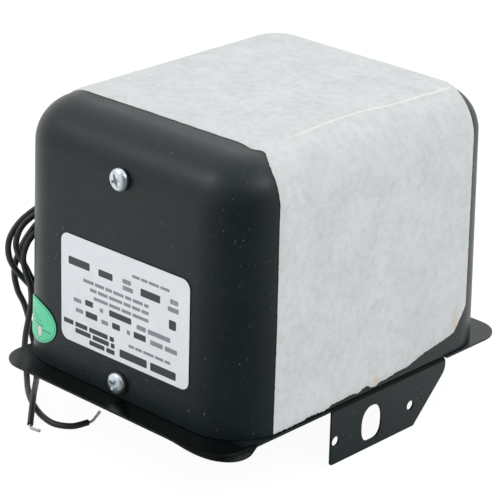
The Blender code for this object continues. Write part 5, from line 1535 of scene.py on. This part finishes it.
def build_sticker():
    """The green oval with its fine outline, marks and a small white oval."""
    look = settings("sticker")
    centre = (look.place, look.level)
    half_length, half_height = look.length / 2, look.height / 2

    def lift(along, level):
        """The film's lower left rim stands a little off the can."""
        down = max(0.0, (centre[1] - level) / half_height - 0.35)
        left = max(0.0, (centre[0] - along) / half_length - 0.1)
        return OVAL_LIFT * down * left

    top = TOUCH + FILM_DEPTH
    outline = oval(centre, half_length, half_height, OVAL_STEPS)
    shape = wrapped_film(outline, 12, TOUCH, top, lift)
    add_sticker_piece("oval_film", shape, film_material("sticker_film", look.film, 0.38), "oval_sticker")
    low, high = top - INK_DEPTH, top + INK_DEPTH
    marks = []
    inner, outer = OVAL_LINE
    for step in range(OVAL_STEPS):
        near, far = 2 * math.pi * step / OVAL_STEPS, 2 * math.pi * (step + 1) / OVAL_STEPS
        quad = []
        for turn, inset in ((near, inner), (far, inner), (far, outer), (near, outer)):
            quad.append((centre[0] + (half_length - inset) * math.cos(turn),
                         centre[1] + (half_height - inset) * math.sin(turn)))
        marks.append(wrapped_film(quad, 1, low, high, lift))
    rng = random.Random(3)
    for along, level, length in STICKER_MARKS:
        spot = along - length / 2
        while spot < along + length / 2:
            width = rng.uniform(*MARK_WIDTHS)
            left, right = spot / 1000, (spot + width) / 1000
            foot, head = (level - MARK_HALF_HEIGHT) / 1000, (level + MARK_HALF_HEIGHT) / 1000
            quad = [(left, foot), (right, foot), (right, head), (left, head)]
            marks.append(wrapped_film(quad, 1, low, high, lift))
            spot += width + rng.uniform(*MARK_GAPS)
    add_sticker_piece("oval_marks", join_shapes(marks), ink_material("sticker_ink", look.ink))
    rim = wrapped_film(oval(SMALL_OVAL, *SMALL_OVAL_RIM, 40), 2, low, high + 0.00001, lift)
    add_sticker_piece("small_oval_rim", rim, ink_material("oval_rim_ink", colour(58, 84, 74)))
    face = wrapped_film(oval(SMALL_OVAL, *SMALL_OVAL_FACE, 40), 2, low, high + 0.00003, lift)
    add_sticker_piece("small_oval", face, film_material("oval_white", colour(222, 226, 222), 0.4))


class TRANSFORMER_OT_oval_sticker(bpy.types.Operator):
    """Bend the oval sticker round the can's front left corner"""

    bl_idname = "transformer.oval_sticker"
    bl_label = "Oval sticker"

    def execute(self, context):
        build_sticker()
        return {"FINISHED"}


# Paper sheet


def between(table, place):
    """Value at a place in a table of pairs, straight from each pair to the next."""
    if place <= table[0][0]:
        return table[0][1]
    for (start, low), (end, high) in zip(table, table[1:]):
        if place <= end:
            return low + (high - low) * (place - start) / (end - start)
    return table[-1][1]


def torn_edge(along):
    """Height of the sheet's torn lower edge at a place along Y, with fine ragged teeth."""
    across = (along - SHEET_FRONT_FOOT) / (SHEET_BACK - SHEET_FRONT_FOOT)
    level = RIM_LEVEL + between(SHEET_TORN_EDGE, across)
    for waves, row, height in TEAR_NOISE:
        level += noise.noise(Vector((along * waves, row, 0))) * height
    return max(level, RIM_LEVEL + TEAR_LEAST)


def skin_half_width(level, along):
    """Distance from the middle to the can's side at a height and a place along Y."""
    half_x, half_y, corner = can_section(level)
    over = max(0.0, abs(along) - (half_y - corner))
    return half_x - corner + math.sqrt(max(0.0, corner ** 2 - over ** 2))


def top_above_shoulder(along):
    """How high the can's top stands above its shoulder's foot at a place along Y."""
    past_flat = max(0.0, abs(along) - can_section(TOP_LEVEL)[1])
    return math.sqrt(max(0.0, CAN_TOP_RADIUS ** 2 - past_flat ** 2))


def skin_direction(point):
    """Direction out of the can's skin at a point on it."""
    half_x, half_y, corner = can_section(SHOULDER_LEVEL)
    out_x = math.copysign(max(0.0, abs(point.x) - half_x + corner), point.x)
    out_y = math.copysign(max(0.0, abs(point.y) - half_y + corner), point.y)
    rise = min(1.0, max(0.0, (point.z - SHOULDER_LEVEL) / CAN_TOP_RADIUS))
    normal = Vector((out_x, out_y, 0.0)).normalized() * math.sqrt(1 - rise * rise)
    normal.z = rise
    return normal


def sheet_stations():
    """The sheet's path over the can: (part, share), from its left end to its torn edge."""
    stations = []
    for part, first, last, steps in SHEET_STEPS:
        stations += [(part, first + (last - first) * step / steps) for step in range(steps)]
    return stations + [("right", 1.0)]


def way_down(part, share):
    """The way down at a station: 0 on top, 1 at the shoulder's foot, 2 at the sheet's own foot."""
    return {"left": 1 + share, "left_arc": share, "top": 0.0, "right_arc": share, "right": 1 + share}[part]


def sheet_spot(part, share, along):
    """The can's skin under the sheet, and the direction out of it."""
    side = -1 if part.startswith("left") else 1
    if part in ("left", "right"):
        foot = SHOULDER_LEVEL - SHEET_LEFT_DROP if side < 0 else torn_edge(along)
        level = SHOULDER_LEVEL + (foot - SHOULDER_LEVEL) * share
    else:
        turn = {"left_arc": 90 * (1 - share), "top": 90, "right_arc": 90 * (1 - share)}[part]
        level = SHOULDER_LEVEL + top_above_shoulder(along) * math.sin(math.radians(turn))
    half = skin_half_width(level, along)
    if part == "top":
        side = 2 * share - 1
    spot = Vector((side * half, along, level))
    return spot, skin_direction(spot)


def sheet_lift(spot):
    """How far the paper stands off the can: soft cockles and the crease."""
    look = settings("sheet")
    cockle = noise.noise(Vector((spot.x * 42, spot.y * 75, spot.z * 42)))
    fine = noise.noise(Vector((spot.x * 160, spot.y * 240, spot.z * 160)))
    lift = look.wrinkle * (0.5 + 0.5 * cockle) + look.wrinkle * 0.25 * (0.5 + 0.5 * fine)
    if spot.z > SHOULDER_LEVEL and spot.y > SHEET_CREASE[0][0]:
        ramp = min(1.0, (spot.y - SHEET_CREASE[0][0]) / CREASE_RUN)
        off = (spot.x - between(SHEET_CREASE, spot.y)) / CREASE_SPREAD
        lift += CREASE_HEIGHT * ramp * math.exp(-off ** 2)
    return max(0.0, lift)


def edge_ease(distance):
    """0 at an edge of the sheet and 1 from a short way in, so that its edges lie on the can."""
    share = min(1.0, distance / SHEET_EASE)
    return share * share * (3 - 2 * share)


def sheet_front(part, share):
    """Place along Y of the sheet's front edge at a station."""
    if part in ("right_arc", "right"):
        room = between(SHEET_FRONT_ROOM, way_down(part, share))
    else:
        half = can_section(TOP_LEVEL)[0]
        room = between(SHEET_FRONT_TOP, half * (2 * share - 1) if part == "top" else -half)
    return room - CAN_DEPTH / 2


def sheet_places(part, share):
    """Places along Y of a station's points, and each one's distance from the nearest side edge."""
    front = sheet_front(part, share)
    over = between(SHEET_OVER_BACK, way_down(part, share))
    back = SHEET_BACK + over
    places = [front + (SHEET_BACK - front) * column / SHEET_COLUMNS for column in range(SHEET_COLUMNS + 1)]
    for step in range(1, SHEET_OVER_COLUMNS + 1):
        places.append(SHEET_BACK + over * step / SHEET_OVER_COLUMNS if over else None)
    return [(along, 0.0 if along is None else min(along - front, back - along)) for along in places]


def sheet_row(shape, part, share):
    """The sheet's vertices along one station; past its back edge, places without reach reuse the last."""
    row = []
    for along, inward in sheet_places(part, share):
        if along is None:
            row.append(row[-1])
            continue
        spot, out = sheet_spot(part, share, along)
        if inward < 1e-6:
            spot.y += SHEET_FRAY * noise.noise(spot * SHEET_FRAY_WAVES)
        if part == "right":
            inward = min(inward, (1 - share) * (SHOULDER_LEVEL - RIM_LEVEL))
        ease = edge_ease(inward)
        spot += out * (SHEET_EDGE_GAP + ease * (TOUCH + sheet_lift(spot)))
        row.append(shape.verts.new(spot))
    return row


def build_sheet():
    """The fibrous sheet over the top and down the right side, cockled, creased and torn."""
    look = settings("sheet")
    shape = bmesh.new()
    rows = [sheet_row(shape, part, share) for part, share in sheet_stations()]
    for row, below in zip(rows, rows[1:]):
        for index in range(len(row) - 1):
            corners = list(dict.fromkeys((row[index], row[index + 1], below[index + 1], below[index])))
            if len(corners) > 2:
                shape.faces.new(corners)
    bmesh.ops.recalc_face_normals(shape, faces=shape.faces)
    total = sum((face.normal * face.calc_area() for face in shape.faces), Vector())
    outward = 1 if total.dot(Vector((1, 0, 1))) > 0 else -1
    sheet = add_object("fibre_sheet", mesh_from("fibre_sheet", shape), paper_material())
    paper = sheet.modifiers.new("paper", "SOLIDIFY")
    paper.thickness = look.thickness
    paper.offset = outward
    settle(sheet)
    smooth(sheet.data, 55)
    return declare(sheet, "fibre_paper", "paper_sheet")


class TRANSFORMER_OT_paper_sheet(bpy.types.Operator):
    """Drape the fibrous paper sheet over the top and the right side"""

    bl_idname = "transformer.paper_sheet"
    bl_label = "Paper sheet"

    def execute(self, context):
        build_sheet()
        return {"FINISHED"}


# Grommet and bushings


def build_grommet():
    """The moulded grommet with rounded flanges and a hole for each lead."""
    neck = GROMMET_RADIUS - TOUCH
    thick = GROMMET_FLANGE_THICKNESS
    inner_seat = -CAN_WALL - TOUCH
    profile = round_corners([
        (GROMMET_FLANGE, inner_seat - thick), (GROMMET_FLANGE, inner_seat), (neck, inner_seat),
        (neck, TOUCH), (GROMMET_FLANGE, TOUCH), (GROMMET_FLANGE, TOUCH + thick),
    ], 0.0006)
    rubber = soft_material("grommet_rubber", colour(38, 37, 37), 0.62)
    grommet = add_object("moulded_grommet", mesh_from("moulded_grommet", lathe(profile, steps=64)), rubber)
    wall = can_section(GROMMET_HEIGHT)[0]
    place = Matrix.Translation((-wall, GROMMET_PLACE, GROMMET_HEIGHT))
    grommet.data.transform(place @ Matrix.Rotation(CAN_DRAFT - math.pi / 2, 4, "Y"))
    radius = settings("lead").diameter / 2 + TOUCH
    cut(grommet, [drilled_through_wall(radius, GROMMET_PLACE + sign * LEAD_SPACING / 2) for sign in (1, -1)])
    smooth(grommet.data, 40)
    return declare(grommet, "gasket_rubber", "lead_grommet")


class TRANSFORMER_OT_grommet(bpy.types.Operator):
    """Put the moulded grommet in the left wall"""

    bl_idname = "transformer.grommet"
    bl_label = "Grommet"

    def execute(self, context):
        build_grommet()
        return {"FINISHED"}


def bushing_profiles():
    """Turned outlines of the bushing and its terminal, with rounded edges."""
    flange_bottom = PLATE_THICKNESS + 2 * TOUCH + GASKET_THICKNESS
    flange_top = flange_bottom + BUSHING_FLANGE_HEIGHT
    bore = STUD_RADIUS + TOUCH
    neck = BUSHING_RADIUS - BUSHING_GROOVE
    pitch = BUSHING_DROP / 5
    outside = [(BUSHING_RADIUS, -BUSHING_DROP)]
    for groove in (1, 2):
        middle = -BUSHING_DROP + pitch * (2 * groove - 0.4)
        outside += [(BUSHING_RADIUS, middle - pitch * 0.55), (neck, middle - pitch * 0.25),
                    (neck, middle + pitch * 0.25), (BUSHING_RADIUS, middle + pitch * 0.55)]
    outside += [(BUSHING_RADIUS, flange_bottom), (BUSHING_FLANGE, flange_bottom),
                (BUSHING_FLANGE, flange_top), (bore, flange_top), (bore, -BUSHING_DROP)]
    top = -BUSHING_DROP - TOUCH
    tip, waist = TERMINAL_RADIUS * 0.62, TERMINAL_RADIUS * 0.9
    hollow = top - STUD_DEPTH - TOUCH
    terminal = [(TERMINAL_CORE, -TERMINAL_DROP), (tip, -TERMINAL_DROP),
                (TERMINAL_RADIUS, -TERMINAL_DROP + 0.0018), (TERMINAL_RADIUS, top - 0.0022),
                (waist, top - 0.0019), (waist, top - 0.0013), (TERMINAL_RADIUS, top - 0.0010),
                (TERMINAL_RADIUS, top), (bore, top), (bore, hollow), (TERMINAL_CORE, hollow)]
    return round_corners(outside, 0.0009, 5), round_corners(terminal, 0.0004, 3)


class TRANSFORMER_OT_bushings(bpy.types.Operator):
    """Turn the two porcelain bushings and their brass terminals"""

    bl_idname = "transformer.bushings"
    bl_label = "Bushings"

    def execute(self, context):
        look = settings("bushing")
        glaze = glaze_material()
        brass = metal_material("turned_brass", look.brass, 0.26, grain=0.3, stretch=(6, 6, 1), tarnish=0.5)
        body, terminal = bushing_profiles()
        for side, facing in (("front", -1), ("back", 1)):
            place = Matrix.Translation((BUSHING_OFFSET, facing * BUSHING_SPACING / 2, 0))
            for name, profile, material, slot, node in (
                ("glazed_bushing", body, glaze, "porcelain", "bushing"),
                ("turned_terminal", terminal, brass, "brass", "terminal_cap"),
            ):
                shape = moved(lathe(profile, hollow=True, steps=look.steps), place)
                piece = add_object(f"{side}_{name}", mesh_from(f"{side}_{name}", shape), material)
                declare(piece, slot, f"{side}_{node}")
            frame["nodes"][f"{side}_terminal_stud"].data.materials[0] = brass
        return {"FINISHED"}


# Pieces inside the can


def dress(nodes, material):
    """Give CAD nodes that keep their own shape a better material."""
    for name in nodes:
        slots = frame["nodes"][name].data.materials
        for index in range(len(slots)):
            slots[index] = material


class TRANSFORMER_OT_inner_parts(bpy.types.Operator):
    """Finish the core, coils, brackets and compound that the can hides"""

    bl_idname = "transformer.inner_parts"
    bl_label = "Inner parts"

    def execute(self, context):
        sides = ("front", "back")
        lamination = layered_material("lamination", colour(98, 98, 102), colour(30, 30, 32),
                                      (0, 0, 1), 0.5, 0.42, 0.85)
        wrap = layered_material("varnished_wrap", colour(190, 156, 90), colour(110, 78, 34),
                                (0, 1, 0), 1.4, 0.5)
        shunts = [f"{side}_{hand}_shunt" for side in sides for hand in ("left", "right")]
        dress(["core_e_stack", "core_i_stack"] + shunts, lamination)
        dress(["primary_coil", "front_secondary_coil", "back_secondary_coil"], wrap)
        dress(["limb_tube"], soft_material("press_board_grain", colour(168, 142, 104), 0.75, 0.8, 0.00006,
                                           (110, 88, 58)))
        steel = metal_material("mill_steel", colour(150, 152, 155), 0.34, grain=0.6, stretch=(8, 1, 1),
                               tarnish=0.4)
        dress([f"{side}_{part}" for side in sides for part in ("core_bracket", "plate_angle")], steel)
        bolts = metal_material("bolt_zinc", colour(190, 196, 198), 0.3, grain=0.4, tarnish=0.3)
        dress([f"{side}_{part}" for side in sides for part in ("core_bolt", "core_nut")], bolts)
        gasket = soft_material("gasket_sheet", colour(40, 38, 37), 0.7)
        dress([f"{side}_bushing_gasket" for side in sides], gasket)
        tin = metal_material("tinned_wire", colour(196, 196, 192), 0.3, grain=0.3, tarnish=0.3)
        dress([f"{side}_{part}" for side in sides for part in ("high_voltage_wire", "earth_wire")], tin)
        pitch = soft_material("pitch", colour(22, 20, 19), 0.35, 3.0, 0.0002, (60, 54, 48))
        dress(["potting_compound"], pitch)
        dress(["primary_tail_a", "primary_tail_b"], bpy.data.materials["insulation"])
        return {"FINISHED"}


# Stage


def build_camera():
    """The camera at the photograph's place, with a long lens and no shift."""
    data = bpy.data.cameras.new("photo_camera")
    data.lens = settings("stage").lens
    data.sensor_width = 36.0
    data.sensor_fit = "HORIZONTAL"
    data.clip_start = 0.01
    data.clip_end = 20.0
    camera = bpy.data.objects.new("photo_camera", data)
    bpy.context.scene.collection.objects.link(camera)
    turn = Matrix((CAMERA_RIGHT, CAMERA_UP, CAMERA_BACK)).transposed()
    camera.matrix_world = Matrix.Translation(CAMERA_PLACE) @ turn.to_4x4()
    bpy.context.scene.camera = camera


def stage_shares(graph, direction, centre=(0, 0, 0)):
    """What rays see: 1 where the stage looks white, and how dark gloss finds the side behind the camera."""
    path = graph.node("ShaderNodeLightPath").outputs
    sent_on = graph.math("MAXIMUM", path["Is Glossy Ray"], path["Is Transmission Ray"])
    seen = graph.math("MAXIMUM", sent_on, path["Is Camera Ray"])
    towards = graph.vector("NORMALIZE", graph.vector("SUBTRACT", direction, centre))
    ramp = {"Value": graph.dot(towards, DARK_SIDE), "From Min": DARK_REACH[0], "From Max": DARK_REACH[1]}
    dark = graph.node("ShaderNodeMapRange", ramp, clamp=True).outputs[0]
    matte = graph.math("SUBTRACT", 1.0, graph.math("MAXIMUM", sent_on, path["Is Camera Ray"]))
    strength = graph.math("MULTIPLY_ADD", matte, MATTE_DARK_SHARE, sent_on)
    return seen, graph.math("MULTIPLY", dark, strength)


def build_world():
    """A soft sky that looks white and lights at its own strength, weaker from behind the camera."""
    look = settings("stage")
    world = bpy.data.worlds.new("studio")
    bpy.context.scene.world = world
    world.use_nodes = True
    graph = Graph(world.node_tree)
    light = world.node_tree.nodes["Background"]
    graph.feed(light.inputs["Color"], (1, 1, 1, 1))
    seen, dark = stage_shares(graph, graph.node("ShaderNodeTexCoord").outputs["Generated"])
    plain = graph.math("MULTIPLY_ADD", seen, 1.0 - look.sky, look.sky)
    left = graph.math("SUBTRACT", 1.0, graph.math("MULTIPLY", dark, look.dark_side))
    graph.feed(light.inputs["Strength"], graph.math("MULTIPLY", plain, left))


def build_floor():
    """A wide pale floor that looks white, keeps a faint shadow and mirrors dim on the camera's side."""
    look = settings("stage")
    level = CAD_BOX[0][2] - FLOOR_DROP
    shape = bmesh.new()
    corners = [shape.verts.new((x * FLOOR_HALF, y * FLOOR_HALF, level))
               for x, y in ((-1, -1), (1, -1), (1, 1), (-1, 1))]
    shape.faces.new(corners)
    bmesh.ops.subdivide_edges(shape, edges=shape.edges[:], cuts=FLOOR_CUTS, use_grid_fill=True)
    material = bpy.data.materials.new("studio_floor")
    material.use_nodes = True
    graph = Graph(material.node_tree)
    material.node_tree.nodes.clear()
    tint = tuple(look.floor)
    place = graph.node("ShaderNodeNewGeometry").outputs["Position"]
    seen, dark = stage_shares(graph, place, FLOOR_MIDDLE)
    left = graph.math("SUBTRACT", 1.0, graph.math("MULTIPLY", dark, look.dark_side))
    strength = graph.math("MULTIPLY", left, FLOOR_GLOW)
    matte = graph.node("ShaderNodeBsdfDiffuse", {"Color": tint})
    dim = graph.node("ShaderNodeBsdfDiffuse", {"Color": scaled(tint, FLOOR_DIM)})
    glow = graph.node("ShaderNodeEmission", {"Color": (1, 1, 1, 1), "Strength": strength})
    bright = graph.node("ShaderNodeAddShader", {0: dim.outputs[0], 1: glow.outputs[0]})
    both = graph.node("ShaderNodeMixShader", {0: seen, 1: matte.outputs[0], 2: bright.outputs[0]})
    output = graph.node("ShaderNodeOutputMaterial")
    graph.feed(output.inputs["Surface"], both.outputs[0])
    floor = add_object("studio_floor", mesh_from("studio_floor", shape), material)


def build_lamps():
    """Two soft lamps that show in the near corner's shoulder, and a large one behind."""
    key = settings("stage").key
    for name, place, size, power in LAMPS:
        data = bpy.data.lights.new(f"lamp_{name}", "AREA")
        data.size = size
        data.energy = power * key
        lamp = bpy.data.objects.new(f"lamp_{name}", data)
        bpy.context.scene.collection.objects.link(lamp)
        lamp.location = place
        lamp.rotation_euler = (Vector(place) - Vector(LAMP_AIM)).to_track_quat("Z", "Y").to_euler()


class TRANSFORMER_OT_stage(bpy.types.Operator):
    """Set the camera, the white floor, the sky and the soft lamps"""

    bl_idname = "transformer.stage"
    bl_label = "Stage"

    def execute(self, context):
        build_camera()
        build_world()
        build_floor()
        build_lamps()
        context.scene.view_settings.view_transform = "Standard"
        return {"FINISHED"}


SETTINGS = {
    "paint": PaintSettings, "screw": ScrewSettings, "label": LabelSettings, "sticker": StickerSettings,
    "sheet": SheetSettings, "lead": LeadSettings, "bushing": BushingSettings, "stage": StageSettings,
}
OPERATORS = (
    TRANSFORMER_OT_stage, TRANSFORMER_OT_leads, TRANSFORMER_OT_case, TRANSFORMER_OT_base_plate,
    TRANSFORMER_OT_screws, TRANSFORMER_OT_rating_label, TRANSFORMER_OT_oval_sticker,
    TRANSFORMER_OT_paper_sheet, TRANSFORMER_OT_grommet, TRANSFORMER_OT_bushings, TRANSFORMER_OT_inner_parts,
)


class TRANSFORMER_PT_looks(bpy.types.Panel):
    """Sidebar panel with the settings and operators of the looks"""

    bl_idname = "TRANSFORMER_PT_looks"
    bl_label = "Transformer looks"
    bl_space_type = "VIEW_3D"
    bl_region_type = "UI"
    bl_category = "Transformer"

    def draw(self, context):
        for operator in OPERATORS:
            self.layout.operator(operator.bl_idname)
        for name, kind in SETTINGS.items():
            box = self.layout.box()
            box.label(text=name.capitalize())
            group = settings(name)
            for key in kind.__annotations__:
                box.prop(group, key)


def register():
    """Register the classes and give the scene its groups of settings."""
    for kind in (*SETTINGS.values(), *OPERATORS, TRANSFORMER_PT_looks):
        bpy.utils.register_class(kind)
    for name, kind in SETTINGS.items():
        setattr(bpy.types.Scene, f"transformer_{name}", PointerProperty(type=kind))


def unregister():
    """Take the settings and the classes away again."""
    for name in SETTINGS:
        delattr(bpy.types.Scene, f"transformer_{name}")
    for kind in reversed((*SETTINGS.values(), *OPERATORS, TRANSFORMER_PT_looks)):
        bpy.utils.unregister_class(kind)


def main():
    """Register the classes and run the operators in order."""
    register()
    for operator in OPERATORS:
        category, name = operator.bl_idname.split(".")
        getattr(getattr(bpy.ops, category), name)()


if __name__ == "__main__":
    main()
